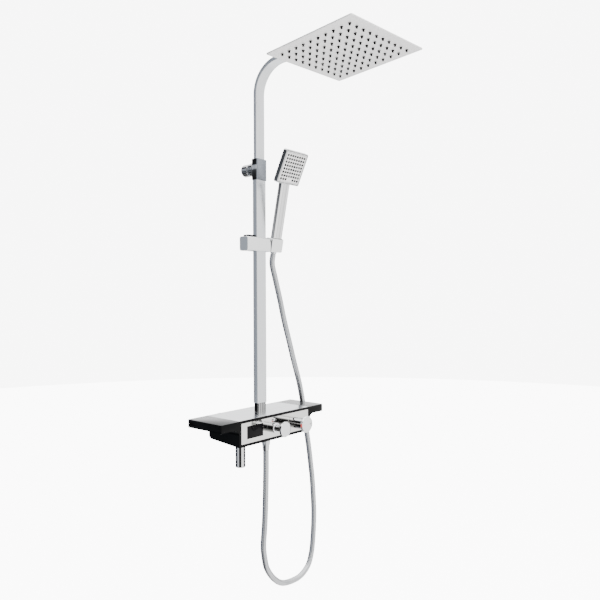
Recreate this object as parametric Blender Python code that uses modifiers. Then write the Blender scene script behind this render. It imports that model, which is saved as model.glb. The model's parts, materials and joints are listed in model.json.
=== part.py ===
"""Rainfall shower column: shelf mixer, telescopic column, square head and hand shower.

Metres, +Z up.  The origin lies on the wall plane, on the mixer's centre line at the
height of its inlets.  +X runs along the wall to the right, +Y runs into the wall.
"""
import math

import bmesh
import bpy
from mathutils import Matrix, Vector

GAP = 0.0003

# Mixer and shelf
WING_X, WING_TOP, WING_BOTTOM = 0.1814, 0.0305, 0.0115
BACK_Y, FRONT_Y, BODY_BACK_Y = -0.009, -0.1236, -0.020
BODY_X, BODY_BOTTOM, BODY_BACK_BOTTOM = 0.1255, -0.0305, -0.0225
FILLET = 0.015
WALL = 0.003
TOP_PLATE_X, TOP_PLATE_T = 0.1235, 0.0017
FACE_X, FACE_Z0, FACE_Z1, FACE_T = 0.119, -0.025, 0.0254, 0.002
DISPLAY = (-0.1012, -0.0477, -0.0140, 0.0157)
KNOB_Z = 0.0018
DIVERTER_X, TEMPERATURE_X = -0.0217, 0.0559
STUD_X, STUD_Z = -0.0112, 0.018
INLET_X = 0.075
SPOUT_X, SPOUT_Y, SPOUT_BOTTOM = -0.084, -0.084, -0.088
OUTLET_X, OUTLET_Y = 0.0205, -0.068
VALVE_Y = -0.064

# Column
COL_X, COL_Y = 0.0195, -0.0495
COLLAR_W, COLLAR_D, COLLAR_TOP = 0.0310, 0.0125, 0.0475
TUBE_W, TUBE_D, TUBE_WALL, TUBE_TOP = 0.0335, 0.0148, 0.0011, 0.655
RISER_W, RISER_D, RISER_WALL, RISER_BOTTOM = 0.0304, 0.0098, 0.0012, 0.380
BEND_Z, BEND_INNER, ARM_END_Y = 0.8211, 0.069, -0.336
ARM_BOTTOM = BEND_Z + BEND_INNER
SLEEVE_W, SLEEVE_D, SLEEVE_Z0, SLEEVE_Z1 = 0.0374, 0.020, 0.6075, 0.6605
WALL_FIX_Z = 0.637

# Overhead shower
HEAD_CENTRE = Vector((0.0199, -0.3162, 0.8629))
HEAD_SIDE, HEAD_T, HEAD_R = 0.250, 0.0062, 0.004
HEAD_YAW, HEAD_ROLL, HEAD_PITCH = map(math.radians, (-4.54, -0.11, -2.31))
NOZZLE_GRID, NOZZLE_STEP = 10, 0.02193
BALL_R, BALL_LIFT = 0.0085, 0.0150

# Slider, cradle and hand shower
SLIDER_X0, SLIDER_X1, SLIDER_Y0, SLIDER_Y1 = -0.0365, 0.0465, -0.064, -0.035
SLIDER_Z0, SLIDER_Z1 = 0.428, 0.4635
PIVOT_Y, PIVOT_Z = -0.0495, 0.446
CRADLE_X0, CRADLE_X1 = 0.049, 0.090
TILT = math.radians(11.8)
HAND_X, HAND_Y, HAND_Z = 0.0695, -0.0612, 0.465
HANDLE_W, HANDLE_T, HANDLE_BELOW = 0.0315, 0.011, 0.022
FACE_LEAN = math.radians(25.7)
HAND_HEAD_W, HAND_HEAD_H, HAND_HEAD_T = 0.083, 0.0845, 0.0105
HAND_FACE_BOTTOM = (-0.1006, 0.598)
HAND_GRID, HAND_PITCH = 8, 0.0086
NUT_OFFSET, NUT_R = 0.0025, 0.0082

# Shower hose: route of its centre line, handset nut to mixer outlet
HOSE_R = 0.007
HOSE_ROUTE = [
    (0.0695, -0.0498, 0.4246), (0.0725, -0.0440, 0.3985), (0.0870, -0.0425, 0.3570),
    (0.1030, -0.0430, 0.3060), (0.1190, -0.0430, 0.2520), (0.1390, -0.0420, 0.1980),
    (0.1590, -0.0410, 0.1430), (0.1810, -0.0400, 0.0860), (0.1950, -0.0390, 0.0410),
    (0.2060, -0.0390, -0.0100), (0.2160, -0.0390, -0.0630), (0.2250, -0.0390, -0.1070),
    (0.2310, -0.0400, -0.1500), (0.2370, -0.0410, -0.1970), (0.2410, -0.0420, -0.2590),
    (0.2410, -0.0430, -0.3040), (0.2340, -0.0450, -0.3630), (0.2230, -0.0470, -0.4040),
    (0.2040, -0.0490, -0.4310), (0.1630, -0.0520, -0.4450), (0.1010, -0.0560, -0.4370),
    (0.0610, -0.0590, -0.4130), (0.0290, -0.0620, -0.3740), (0.0160, -0.0640, -0.3330),
    (0.0130, -0.0650, -0.3050), (0.0160, -0.0660, -0.2650), (0.0180, -0.0675, -0.2100),
    (0.0200, -0.0680, -0.1290), (0.0205, -0.0680, -0.0713),
]
HOSE_STEP = 0.028

SMOOTH = math.radians(35)


# ---------------------------------------------------------------- scene set-up
for item in list(bpy.data.objects):
    bpy.data.objects.remove(item, do_unlink=True)

PARTS = bpy.data.collections.new("rainfall_shower_column")
CUTTERS = bpy.data.collections.new("cutters")
for group in (PARTS, CUTTERS):
    bpy.context.scene.collection.children.link(group)


def material(name, colour, roughness, metallic):
    """A plain Principled material."""
    mat = bpy.data.materials.new(name)
    mat.use_nodes = True
    shader = mat.node_tree.nodes["Principled BSDF"]
    shader.inputs["Base Color"].default_value = (*colour, 1.0)
    shader.inputs["Roughness"].default_value = roughness
    shader.inputs["Metallic"].default_value = metallic
    return mat


LOOKS = {
    "chrome": ((0.78, 0.79, 0.80), 0.08, 1.0),
    "satin_silver": ((0.70, 0.71, 0.72), 0.25, 1.0),
    "gloss_black": ((0.012, 0.012, 0.014), 0.08, 0.0),
    "screen": ((0.03, 0.03, 0.035), 0.12, 0.0),
    "brass": ((0.72, 0.52, 0.22), 0.30, 1.0),
    "grey_plastic": ((0.25, 0.26, 0.27), 0.50, 0.0),
    "black_rubber": ((0.03, 0.03, 0.03), 0.70, 0.0),
    "grey_rubber": ((0.32, 0.32, 0.33), 0.60, 0.0),
    "red_plastic": ((0.65, 0.04, 0.05), 0.30, 0.0),
    "steel": ((0.55, 0.56, 0.58), 0.30, 1.0),
    "hose_chrome": ((0.62, 0.64, 0.66), 0.22, 1.0),
    "spray_grey": ((0.62, 0.60, 0.59), 0.35, 0.0),
}


# ---------------------------------------------------------------- shape helpers
def link(obj, group):
    for holder in list(obj.users_collection):
        holder.objects.unlink(obj)
    group.objects.link(obj)
    return obj


def from_bmesh(name, bm):
    mesh = bpy.data.meshes.new(name)
    bm.to_mesh(mesh)
    bm.free()
    obj = bpy.data.objects.new(name, mesh)
    return link(obj, CUTTERS)


def box(x0, x1, y0, y1, z0, z1, name="box"):
    """An axis-aligned box between two corners."""
    bm = bmesh.new()
    bmesh.ops.create_cube(bm, size=1.0)
    size = Matrix.Diagonal((x1 - x0, y1 - y0, z1 - z0, 1.0))
    centre = Matrix.Translation(((x0 + x1) / 2, (y0 + y1) / 2, (z0 + z1) / 2))
    bmesh.ops.transform(bm, matrix=centre @ size, verts=bm.verts)
    return from_bmesh(name, bm)


def cylinder(r0, r1, start, end, segments=24, name="cylinder"):
    """A cylinder or cone whose radius runs from r0 at start to r1 at end."""
    start, end = Vector(start), Vector(end)
    axis = end - start
    bm = bmesh.new()
    bmesh.ops.create_cone(bm, cap_ends=True, segments=segments, radius1=r0, radius2=r1,
                          depth=axis.length)
    turn = axis.to_track_quat("Z", "Y").to_matrix().to_4x4()
    bmesh.ops.transform(bm, matrix=Matrix.Translation((start + end) / 2) @ turn,
                        verts=bm.verts)
    return from_bmesh(name, bm)


def to_mesh(obj):
    """Replace a curve, or an object with modifiers, by its evaluated mesh, welded."""
    bpy.context.view_layer.update()
    graph = bpy.context.evaluated_depsgraph_get()
    mesh = bpy.data.meshes.new_from_object(obj.evaluated_get(graph))
    bm = bmesh.new()
    bm.from_mesh(mesh)
    bmesh.ops.remove_doubles(bm, verts=bm.verts, dist=0.000002)
    bmesh.ops.recalc_face_normals(bm, faces=bm.faces)
    bm.to_mesh(mesh)
    bm.free()
    name, place = obj.name, obj.matrix_world.copy()
    bpy.data.objects.remove(obj, do_unlink=True)
    new = bpy.data.objects.new(name, mesh)
    new.matrix_world = place
    return link(new, CUTTERS)


# Planes an outline is drawn in: local x, y and extrusion axis
PLANES = {
    "XY": Matrix(((1, 0, 0), (0, 1, 0), (0, 0, 1))),
    "XZ": Matrix(((1, 0, 0), (0, 0, -1), (0, 1, 0))),
    "YZ": Matrix(((0, 0, 1), (1, 0, 0), (0, 1, 0))),
}


def outline(points, plane, low, high, name="outline"):
    """A closed flat outline extruded between two levels across its plane."""
    curve = bpy.data.curves.new(name, "CURVE")
    curve.dimensions = "2D"
    curve.fill_mode = "BOTH"
    curve.extrude = (high - low) / 2
    spline = curve.splines.new("POLY")
    spline.points.add(len(points) - 1)
    for point, (u, v) in zip(spline.points, points):
        point.co = (u, v, 0.0, 1.0)
    spline.use_cyclic_u = True
    obj = link(bpy.data.objects.new(name, curve), CUTTERS)
    turn = PLANES[plane]
    middle = turn @ Vector((0, 0, 1)) * ((low + high) / 2)
    if plane == "XZ":
        middle = Vector((0, (low + high) / 2, 0))
    obj.matrix_world = Matrix.Translation(middle) @ turn.to_4x4()
    return bake(to_mesh(obj))


def bake(obj):
    """Put an object's placement into its mesh."""
    obj.data.transform(obj.matrix_world)
    obj.matrix_world = Matrix.Identity(4)
    return obj


def arc(cu, cv, radius, start, end, steps):
    """Points along an arc, angles in degrees."""
    turn = [math.radians(start + (end - start) * i / steps) for i in range(steps + 1)]
    return [(cu + radius * math.cos(a), cv + radius * math.sin(a)) for a in turn]


def round_rect(u0, u1, v0, v1, radius, steps=3):
    """Corner-rounded rectangle, counter-clockwise."""
    corners = [(u1 - radius, v0 + radius, -90), (u1 - radius, v1 - radius, 0),
               (u0 + radius, v1 - radius, 90), (u0 + radius, v0 + radius, 180)]
    return [p for u, v, a in corners for p in arc(u, v, radius, a, a + 90, steps)]


def bevel(obj, width, segments=2, angle=40):
    """Round an object's sharp edges and bake the result; flat faces are made whole first."""
    bm = bmesh.new()
    bm.from_mesh(obj.data)
    bmesh.ops.dissolve_limit(bm, angle_limit=math.radians(0.5), verts=bm.verts,
                             edges=bm.edges)
    bm.to_mesh(obj.data)
    bm.free()
    mod = obj.modifiers.new("round", "BEVEL")
    mod.width, mod.segments = width, segments
    mod.limit_method, mod.angle_limit = "ANGLE", math.radians(angle)
    return to_mesh(obj)


def combine(target, others, operation):
    """Exact Boolean of one object with others, which are used up."""
    for other in others:
        other.hide_render, other.display_type = True, "WIRE"
        mod = target.modifiers.new("boolean", "BOOLEAN")
        mod.operation, mod.object, mod.solver = operation, other, "EXACT"
    result = to_mesh(target)
    for other in others:
        bpy.data.objects.remove(other, do_unlink=True)
    return result


def cut(target, *others):
    return combine(target, others, "DIFFERENCE")


def join(target, *others):
    return combine(target, others, "UNION")


def lathe(profile, start, axis, steps=24, name="lathe"):
    """Turn a (radius, distance) profile about an axis; it ends on the axis at both ends."""
    mesh = bpy.data.meshes.new(name)
    points = [(r, 0.0, d) for r, d in profile]
    mesh.from_pydata(points, [(i, i + 1) for i in range(len(points) - 1)], [])
    obj = link(bpy.data.objects.new(name, mesh), CUTTERS)
    mod = obj.modifiers.new("turn", "SCREW")
    mod.steps = mod.render_steps = steps
    mod.use_merge_vertices, mod.merge_threshold = True, 0.00005
    obj.matrix_world = (Matrix.Translation(start)
                        @ Vector(axis).to_track_quat("Z", "Y").to_matrix().to_4x4())
    return bake(to_mesh(obj))


def ring(r_in, r_out, start, axis, length, steps=20, chamfer=0.0004):
    """A tube with lightly chamfered outer edges."""
    c = chamfer
    profile = [(r_in, length), (r_out - c, length), (r_out, length - c), (r_out, c),
               (r_out - c, 0.0), (r_in, 0.0), (r_in, length)]
    return lathe(profile, start, axis, steps)


def finish(obj, name, look, origin=(0, 0, 0), turn=None):
    """Name a part, give it its material and put its origin on its joint or centre."""
    obj.name = obj.data.name = name
    place = Matrix.Translation(origin)
    if turn is not None:
        place = place @ turn.to_4x4()
    obj.data.transform(place.inverted())
    obj.matrix_world = place
    obj.data.materials.clear()
    obj.data.materials.append(material(name, *LOOKS[look]))
    obj.data.shade_smooth()
    obj.data.set_sharp_from_angle(angle=SMOOTH)
    return link(obj, PARTS)


def place(obj, matrix):
    """Move a piece built in its own frame into the object's frame."""
    obj.data.transform(matrix)
    return obj


# ---------------------------------------------------------------- mixer and shelf
def mixer_housing():
    wings = outline(round_rect(-WING_X, WING_X, FRONT_Y, BACK_Y, 0.0035), "XY",
                    WING_BOTTOM, WING_TOP)
    wings = bevel(wings, 0.0012, 2)
    right = arc(BODY_X + FILLET, WING_BOTTOM - FILLET + 0.0004, FILLET, 180, 90, 6)
    left = [(-u, v) for u, v in reversed(right)]
    stem = outline([(-BODY_X, BODY_BOTTOM), (BODY_X, BODY_BOTTOM)] + right
                   + [(right[-1][0], WING_BOTTOM + 0.004), (left[0][0], WING_BOTTOM + 0.004)]
                   + left, "XZ", FRONT_Y, BODY_BACK_Y)
    r = 0.010
    foot = arc(BODY_BACK_Y - r, BODY_BACK_BOTTOM + r, r, 0, -87, 5)
    relief = outline([(FRONT_Y - 0.01, BODY_BOTTOM - 0.01), (0.0, BODY_BOTTOM - 0.01),
                      (0.0, foot[0][1])] + foot + [(FRONT_Y, BODY_BOTTOM),
                      (FRONT_Y - 0.01, BODY_BOTTOM)], "YZ", -0.2, 0.2)
    inner_front = FRONT_Y + FACE_T + WALL
    floor = [(inner_front, BODY_BOTTOM + WALL), (-0.034, BODY_BACK_BOTTOM + WALL - 0.001),
             (0.002, BODY_BACK_BOTTOM + WALL + 0.008)]
    hollow = outline(floor + [(0.002, 0.0220), (inner_front, 0.0220)], "YZ",
                     -BODY_X + WALL, BODY_X - WALL)
    wing_hollow = box(-WING_X + 0.006, WING_X - 0.006, inner_front + 0.0007, 0.003,
                      WING_BOTTOM + WALL, 0.0255)
    top = box(-TOP_PLATE_X - GAP, TOP_PLATE_X + GAP, FRONT_Y - 0.001, 0.002,
              WING_TOP - TOP_PLATE_T - GAP, WING_TOP + 0.001)
    face = box(-FACE_X - GAP, FACE_X + GAP, FRONT_Y - 0.001, FRONT_Y + FACE_T + GAP,
               FACE_Z0 - GAP, FACE_Z1 + GAP)
    front = (FRONT_Y - 0.002, FRONT_Y + 0.010)
    x0, x1, z0, z1 = DISPLAY
    holes = [
        box(x0 + 0.0015, x1 - 0.0015, *front, z0 + 0.0015, z1 - 0.0015),
        cylinder(0.0118, 0.0118, (DIVERTER_X, front[0], KNOB_Z), (DIVERTER_X, front[1], KNOB_Z)),
        cylinder(0.0133, 0.0133, (TEMPERATURE_X, front[0], KNOB_Z),
                 (TEMPERATURE_X, front[1], KNOB_Z)),
        cylinder(0.0118, 0.0118, (SPOUT_X, SPOUT_Y, -0.04), (SPOUT_X, SPOUT_Y, -0.015)),
        cylinder(0.0100, 0.0100, (OUTLET_X, OUTLET_Y, -0.04), (OUTLET_X, OUTLET_Y, -0.015)),
        outline(round_rect(COL_X - 0.0155 - GAP, COL_X + 0.0155 + GAP, COL_Y - 0.00625 - GAP,
                           COL_Y + 0.00625 + GAP, 0.0015, 2), "XY", 0.020, 0.035),
    ]
    body = join(wings, stem)
    body = cut(body, relief, hollow)
    body = cut(body, wing_hollow, top, face)
    body = cut(body, *holes)
    return finish(body, "mixer_housing", "gloss_black")


def shelf_top_plate():
    z0 = WING_TOP - TOP_PLATE_T
    plate = box(-TOP_PLATE_X, TOP_PLATE_X, FRONT_Y + 0.0002, BACK_Y, z0, WING_TOP)
    hole = outline(round_rect(COL_X - 0.0155 - GAP, COL_X + 0.0155 + GAP,
                              COL_Y - 0.00625 - GAP, COL_Y + 0.00625 + GAP, 0.0015, 2),
                   "XY", z0 - 0.01, WING_TOP + 0.01)
    return finish(cut(plate, hole), "shelf_top_plate", "satin_silver", (0, 0, WING_TOP))


def faceplate():
    plate = outline(round_rect(-FACE_X, FACE_X, FACE_Z0, FACE_Z1, 0.0012, 2), "XZ",
                    FRONT_Y - 0.0002, FRONT_Y + FACE_T)
    front = (FRONT_Y - 0.002, FRONT_Y + 0.01)
    x0, x1, z0, z1 = DISPLAY
    holes = [box(x0, x1, *front, z0, z1)]
    for x, z, r in ((DIVERTER_X, KNOB_Z, 0.0118), (TEMPERATURE_X, KNOB_Z, 0.0133),
                    (STUD_X, STUD_Z, 0.0021)):
        holes.append(cylinder(r, r, (x, front[0], z), (x, front[1], z)))
    return finish(cut(plate, *holes), "faceplate", "chrome", (0, FRONT_Y, 0))


def display():
    x0, x1, z0, z1 = DISPLAY
    g = GAP
    window = box(x0 + g, x1 - g, FRONT_Y + 0.0004, FRONT_Y + FACE_T, z0 + g, z1 - g)
    window = bevel(window, 0.0002, 1)
    finish(window, "display_window", "screen", (0, FRONT_Y, 0))
    module = box(x0 + 0.002, x1 - 0.002, FRONT_Y + FACE_T + g, -0.1120, z0 + 0.002, z1 - 0.002)
    finish(bevel(module, 0.0005, 1), "display_module", "grey_plastic", (0, -0.112, 0))


def valve_body():
    y = VALVE_Y
    body = cylinder(0.0165, 0.0165, (-0.098, y, 0), (0.100, y, 0), 20)
    bosses = [
        cylinder(0.0180, 0.0180, (DIVERTER_X, y, KNOB_Z), (DIVERTER_X, -0.0995, KNOB_Z), 20),
        cylinder(0.0185, 0.0185, (TEMPERATURE_X, y, KNOB_Z), (TEMPERATURE_X, -0.0995, KNOB_Z),
                 20),
        cylinder(0.0080, 0.0080, (COL_X, COL_Y, 0), (COL_X, COL_Y, 0.0235), 12),
        cylinder(0.0095, 0.0095, (OUTLET_X, OUTLET_Y, 0), (OUTLET_X, OUTLET_Y, -0.0235), 16),
        cylinder(0.0110, 0.0110, (SPOUT_X, SPOUT_Y, 0), (SPOUT_X, SPOUT_Y, -0.0240), 16),
        box(SPOUT_X - 0.011, SPOUT_X + 0.011, SPOUT_Y, y, -0.011, 0.008),
        cylinder(0.0100, 0.0100, (-INLET_X, y, 0), (-INLET_X, -0.0400, 0), 16),
        cylinder(0.0100, 0.0100, (INLET_X, y, 0), (INLET_X, -0.0400, 0), 16),
    ]
    body = join(body, *bosses)
    bores = [
        cylinder(0.0138, 0.0138, (DIVERTER_X, -0.0575, KNOB_Z), (DIVERTER_X, -0.11, KNOB_Z)),
        cylinder(0.0148, 0.0148, (TEMPERATURE_X, -0.0575, KNOB_Z),
                 (TEMPERATURE_X, -0.11, KNOB_Z)),
        cylinder(0.0050, 0.0050, (COL_X, COL_Y, -0.002), (COL_X, COL_Y, 0.03), 10),
        cylinder(0.0050, 0.0050, (OUTLET_X, OUTLET_Y, 0.002), (OUTLET_X, OUTLET_Y, -0.03), 10),
        cylinder(0.0060, 0.0060, (SPOUT_X, SPOUT_Y, -0.002), (SPOUT_X, SPOUT_Y, -0.03), 10),
        cylinder(0.0065, 0.0065, (-INLET_X, y, 0), (-INLET_X, -0.03, 0), 10),
        cylinder(0.0065, 0.0065, (INLET_X, y, 0), (INLET_X, -0.03, 0), 10),
        cylinder(0.0055, 0.0055, (-0.087, y, 0), (0.088, y, 0), 10),
    ]
    return finish(cut(body, *bores), "valve_body", "brass", (0, y, 0))


def cartridges():
    """Stepped cartridges seated in the valve body, spindles towards the knobs."""
    for name, x, r, look in (("diverter_cartridge", DIVERTER_X, 0.0135, "grey_plastic"),
                             ("thermostatic_cartridge", TEMPERATURE_X, 0.0145, "brass")):
        profile = [(0, 0.075), (0.0040, 0.075), (0.0040, 0.052), (0.0100, 0.052),
                   (0.0100, 0.045), (r, 0.045), (r, 0.012), (r - 0.003, 0.012),
                   (r - 0.003, 0.0), (0, 0)]
        piece = lathe(profile, (x, -0.0579, KNOB_Z), (0, -1, 0), 16)
        finish(piece, name, look, (x, -0.0998, KNOB_Z))


def hydro_generator():
    """Small turbine clipped in front of the manifold, left of the diverter."""
    case = cylinder(0.0080, 0.0080, (-0.0425, -0.0990, 0), (-0.0715, -0.0990, 0), 20)
    case = bevel(case, 0.0008, 1)
    return finish(case, "hydro_generator", "grey_plastic", (-0.057, -0.099, 0))


def inlets():
    """The two wall connections with rosette, nut and non-return valve."""
    for side, sign in (("left", -1), ("right", 1)):
        x = sign * INLET_X
        union = ring(0.0075, 0.0105, (x, 0, 0), (0, -1, 0), 0.0396, 20)
        finish(union, "inlet_union_" + side, "brass", (x, 0, 0))
        nut = cylinder(0.0150, 0.0150, (x, -0.0235, 0), (x, -0.0372, 0), 6)
        nut = cut(bevel(nut, 0.0006, 1),
                  cylinder(0.0108, 0.0108, (x, 0, 0), (x, -0.05, 0), 24))
        finish(nut, "inlet_nut_" + side, "chrome", (x, -0.030, 0))
        c = [(0.0108, 0.0068), (0.0150, 0.0085), (0.0200, 0.0080), (0.0270, 0.0045),
             (0.0290, 0.0012), (0.0290, 0.0), (0.0108, 0.0), (0.0108, 0.0068)]
        rosette = lathe(c, (x, 0, 0), (0, -1, 0), 28)
        finish(rosette, "wall_rosette_" + side, "chrome", (x, 0, 0))
        valve = [(0, 0.012), (0.0055, 0.010), (0.0055, 0.006), (0.0072, 0.006),
                 (0.0072, 0.0), (0, 0.0)]
        check = lathe(valve, (x, -0.026, 0), (0, -1, 0), 14)
        finish(check, "check_valve_" + side, "grey_plastic", (x, -0.026, 0))


def index_stud():
    profile = [(0, 0.0042), (0.0022, 0.0039), (0.0035, 0.0025), (0.0035, 0.0005),
               (0.0018, 0.0005), (0.0018, -0.0018), (0, -0.0018)]
    stud = lathe(profile, (STUD_X, FRONT_Y, STUD_Z), (0, -1, 0), 16)
    finish(stud, "index_stud", "chrome", (STUD_X, FRONT_Y, STUD_Z))


def knobs():
    y = FRONT_Y
    sleeve = [(0.0080, 0.0205), (0.0108, 0.0205), (0.0120, 0.0195), (0.0120, 0.0005),
              (0.0115, 0.0), (0.0115, -0.0030), (0.0080, -0.0030), (0.0080, 0.0205)]
    obj = lathe(sleeve, (DIVERTER_X, y, KNOB_Z), (0, -1, 0), 24)
    finish(obj, "diverter_sleeve", "chrome", (DIVERTER_X, y, KNOB_Z))

    knob = [(0, 0.0500), (0.0150, 0.0500), (0.0172, 0.0492), (0.0180, 0.0476),
            (0.0180, 0.0450), (0.0170, 0.0436), (0.0080, 0.0428), (0.0076, 0.0420),
            (0.0076, 0.0220), (0.0070, 0.0214), (0.0070, 0.0140), (0, 0.0140)]
    obj = lathe(knob, (DIVERTER_X, y, KNOB_Z), (0, -1, 0), 28)
    bore = cylinder(0.0043, 0.0043, (DIVERTER_X, y + 0.01, KNOB_Z),
                    (DIVERTER_X, y - 0.030, KNOB_Z), 12)
    finish(cut(obj, bore), "diverter_knob", "chrome", (DIVERTER_X, y, KNOB_Z))

    knob = [(0, 0.0440), (0.0130, 0.0440), (0.0135, 0.0435), (0.0135, 0.0010),
            (0.0130, 0.0005), (0, 0.0005)]
    obj = lathe(knob, (TEMPERATURE_X, y, KNOB_Z), (0, -1, 0), 28)
    bore = cylinder(0.0043, 0.0043, (TEMPERATURE_X, y + 0.01, KNOB_Z),
                    (TEMPERATURE_X, y - 0.030, KNOB_Z), 12)
    finish(cut(obj, bore), "temperature_knob", "chrome", (TEMPERATURE_X, y, KNOB_Z))

    cap = [(0, 0.0515), (0.0165, 0.0515), (0.0190, 0.0506), (0.0200, 0.0490),
           (0.0200, 0.0462), (0.0190, 0.0446), (0, 0.0443)]
    obj = lathe(cap, (TEMPERATURE_X, y, KNOB_Z), (0, -1, 0), 32)
    slot = box(TEMPERATURE_X - 0.0215, TEMPERATURE_X - 0.0145, y - 0.0500, y - 0.0458,
               KNOB_Z - 0.0042, KNOB_Z + 0.0042)
    finish(cut(obj, slot), "temperature_cap", "chrome", (TEMPERATURE_X, y, KNOB_Z))
    g = GAP
    button = box(TEMPERATURE_X - 0.0209, TEMPERATURE_X - 0.0168, y - 0.0500 + g,
                 y - 0.0458 - g, KNOB_Z - 0.0042 + g, KNOB_Z + 0.0042 - g)
    finish(bevel(button, 0.0005, 1), "safety_button", "red_plastic",
           (TEMPERATURE_X - 0.0188, y - 0.0479, KNOB_Z))


def spout():
    at = (SPOUT_X, SPOUT_Y, 0)
    base = [(0.0060, -0.0244), (0.0100, -0.0244), (0.0100, -0.0340), (0.0092, -0.0345),
            (0.0060, -0.0345), (0.0060, -0.0244)]
    finish(lathe(base, at, (0, 0, 1), 16), "spout_base", "chrome", at)
    seal = [(0.0060, -0.0348), (0.0104, -0.0348), (0.0104, -0.0366), (0.0060, -0.0366),
            (0.0060, -0.0348)]
    finish(lathe(seal, at, (0, 0, 1), 16), "spout_ring", "black_rubber", at)
    low = SPOUT_BOTTOM
    tube = [(0.0060, -0.0369), (0.0110, -0.0369), (0.01175, -0.0378), (0.01175, low + 0.0012),
            (0.0108, low), (0.0098, low), (0.0098, low + 0.012), (0.0060, low + 0.012),
            (0.0060, -0.0369)]
    finish(lathe(tube, at, (0, 0, 1), 24), "spout_tube", "chrome", at)
    jet = [(0, low + 0.0115), (0.0095, low + 0.0115), (0.0095, low + 0.0008),
           (0.0088, low + 0.0003), (0.0070, low + 0.0020), (0, low + 0.0020)]
    finish(lathe(jet, at, (0, 0, 1), 16), "spout_aerator", "grey_plastic", at)


def hose_outlet():
    at = (OUTLET_X, OUTLET_Y, 0)
    pipe = [(0.0050, -0.0238), (0.0092, -0.0238), (0.0092, -0.0310), (0.0105, -0.0312),
            (0.0105, -0.0340), (0.0080, -0.0345), (0.0080, -0.0535), (0.0050, -0.0535),
            (0.0050, -0.0238)]
    finish(lathe(pipe, at, (0, 0, 1), 16), "hose_outlet", "chrome", at)
    nut = [(0, -0.0540), (0.0083, -0.0540), (0.0083, -0.0400), (0.0098, -0.0400),
           (0.0105, -0.0408), (0.0105, -0.0520), (0.0088, -0.0600), (0.0082, -0.0690),
           (0.0078, -0.0710), (0, -0.0710)]
    finish(lathe(nut, at, (0, 0, 1), 20), "hose_nut_outlet", "chrome", at)


# ---------------------------------------------------------------- column
def rounded_bar(width, depth, low, high, radius, steps=2):
    return outline(round_rect(COL_X - width / 2, COL_X + width / 2, COL_Y - depth / 2,
                              COL_Y + depth / 2, radius, steps), "XY", low, high)


def column_foot():
    foot = rounded_bar(COLLAR_W, COLLAR_D, 0.0240, COLLAR_TOP, 0.0015)
    spigot = rounded_bar(TUBE_W - 2 * TUBE_WALL - 0.0006, TUBE_D - 2 * TUBE_WALL - 0.0006,
                         COLLAR_TOP - 0.001, 0.085, 0.0008)
    bore = cylinder(0.0045, 0.0045, (COL_X, COL_Y, 0.01), (COL_X, COL_Y, 0.10), 12)
    x, z = 0.0252, 0.0410
    front = COL_Y - COLLAR_D / 2
    seat = cylinder(0.0019, 0.0019, (x + 0.004, front - 0.001, z), (x + 0.004, front + 0.0036, z), 12)
    foot = cut(join(foot, spigot), bore, seat)
    finish(foot, "column_collar", "chrome", (COL_X, COL_Y, COLLAR_TOP))
    screw = cylinder(0.0016, 0.0016, (x + 0.004, front + 0.0003, z), (x + 0.004, front + 0.0033, z), 12)
    socket = cylinder(0.0008, 0.0008, (x + 0.004, front - 0.001, z), (x + 0.004, front + 0.0018, z), 6)
    finish(cut(screw, socket), "collar_screw", "steel", (x + 0.004, front, z))


def lower_tube():
    tube = rounded_bar(TUBE_W, TUBE_D, COLLAR_TOP + GAP, TUBE_TOP, 0.0018, 3)
    bore = rounded_bar(TUBE_W - 2 * TUBE_WALL, TUBE_D - 2 * TUBE_WALL, 0.0, TUBE_TOP + 0.01,
                       0.0008, 2)
    finish(cut(tube, bore), "lower_tube", "chrome", (COL_X, COL_Y, COLLAR_TOP))


def arm_profile(half, start, end, steps):
    """Side view of the riser and arm, as a strip of one thickness round the bend."""
    middle = BEND_INNER + RISER_D / 2
    cy = COL_Y - middle
    outer = arc(cy, BEND_Z, middle + half, 0, 90, steps)
    inner = arc(cy, BEND_Z, middle - half, 90, 0, steps)
    return ([(COL_Y + half, start)] + outer + [(end, BEND_Z + middle + half),
            (end, BEND_Z + middle - half)] + inner + [(COL_Y - half, start)])


def riser_arm():
    w = RISER_W / 2
    arm = outline(arm_profile(RISER_D / 2, RISER_BOTTOM, ARM_END_Y, 14), "YZ",
                  COL_X - w, COL_X + w)
    arm = bevel(arm, 0.0014, 2, 50)
    t = RISER_WALL
    bore = outline(arm_profile(RISER_D / 2 - t, RISER_BOTTOM - 0.02, ARM_END_Y + 0.002, 14),
                   "YZ", COL_X - w + t, COL_X + w - t)
    x, y = HEAD_CENTRE.x, HEAD_CENTRE.y
    outlet = cylinder(0.0050, 0.0050, (x, y, ARM_BOTTOM - 0.002), (x, y, ARM_BOTTOM + 0.004), 16)
    arm = cut(arm, bore)
    finish(cut(arm, outlet), "riser_arm", "chrome", (COL_X, COL_Y, RISER_BOTTOM))

    piston = rounded_bar(TUBE_W - 2 * TUBE_WALL - 0.0008, TUBE_D - 2 * TUBE_WALL - 0.0008,
                         RISER_BOTTOM - 0.0160, RISER_BOTTOM - GAP, 0.0008)
    bore = cylinder(0.0035, 0.0035, (COL_X, COL_Y, 0.30), (COL_X, COL_Y, 0.40), 16)
    finish(cut(piston, bore), "riser_piston", "black_rubber", (COL_X, COL_Y, RISER_BOTTOM))

    guide = rounded_bar(TUBE_W, TUBE_D, TUBE_TOP + GAP, SLEEVE_Z1 - 0.0003, 0.0018)
    hole = rounded_bar(RISER_W + 0.0007, RISER_D + 0.0007, 0.60, 0.70, 0.0016)
    finish(cut(guide, hole), "guide_ring", "grey_plastic", (COL_X, COL_Y, TUBE_TOP))


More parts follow.
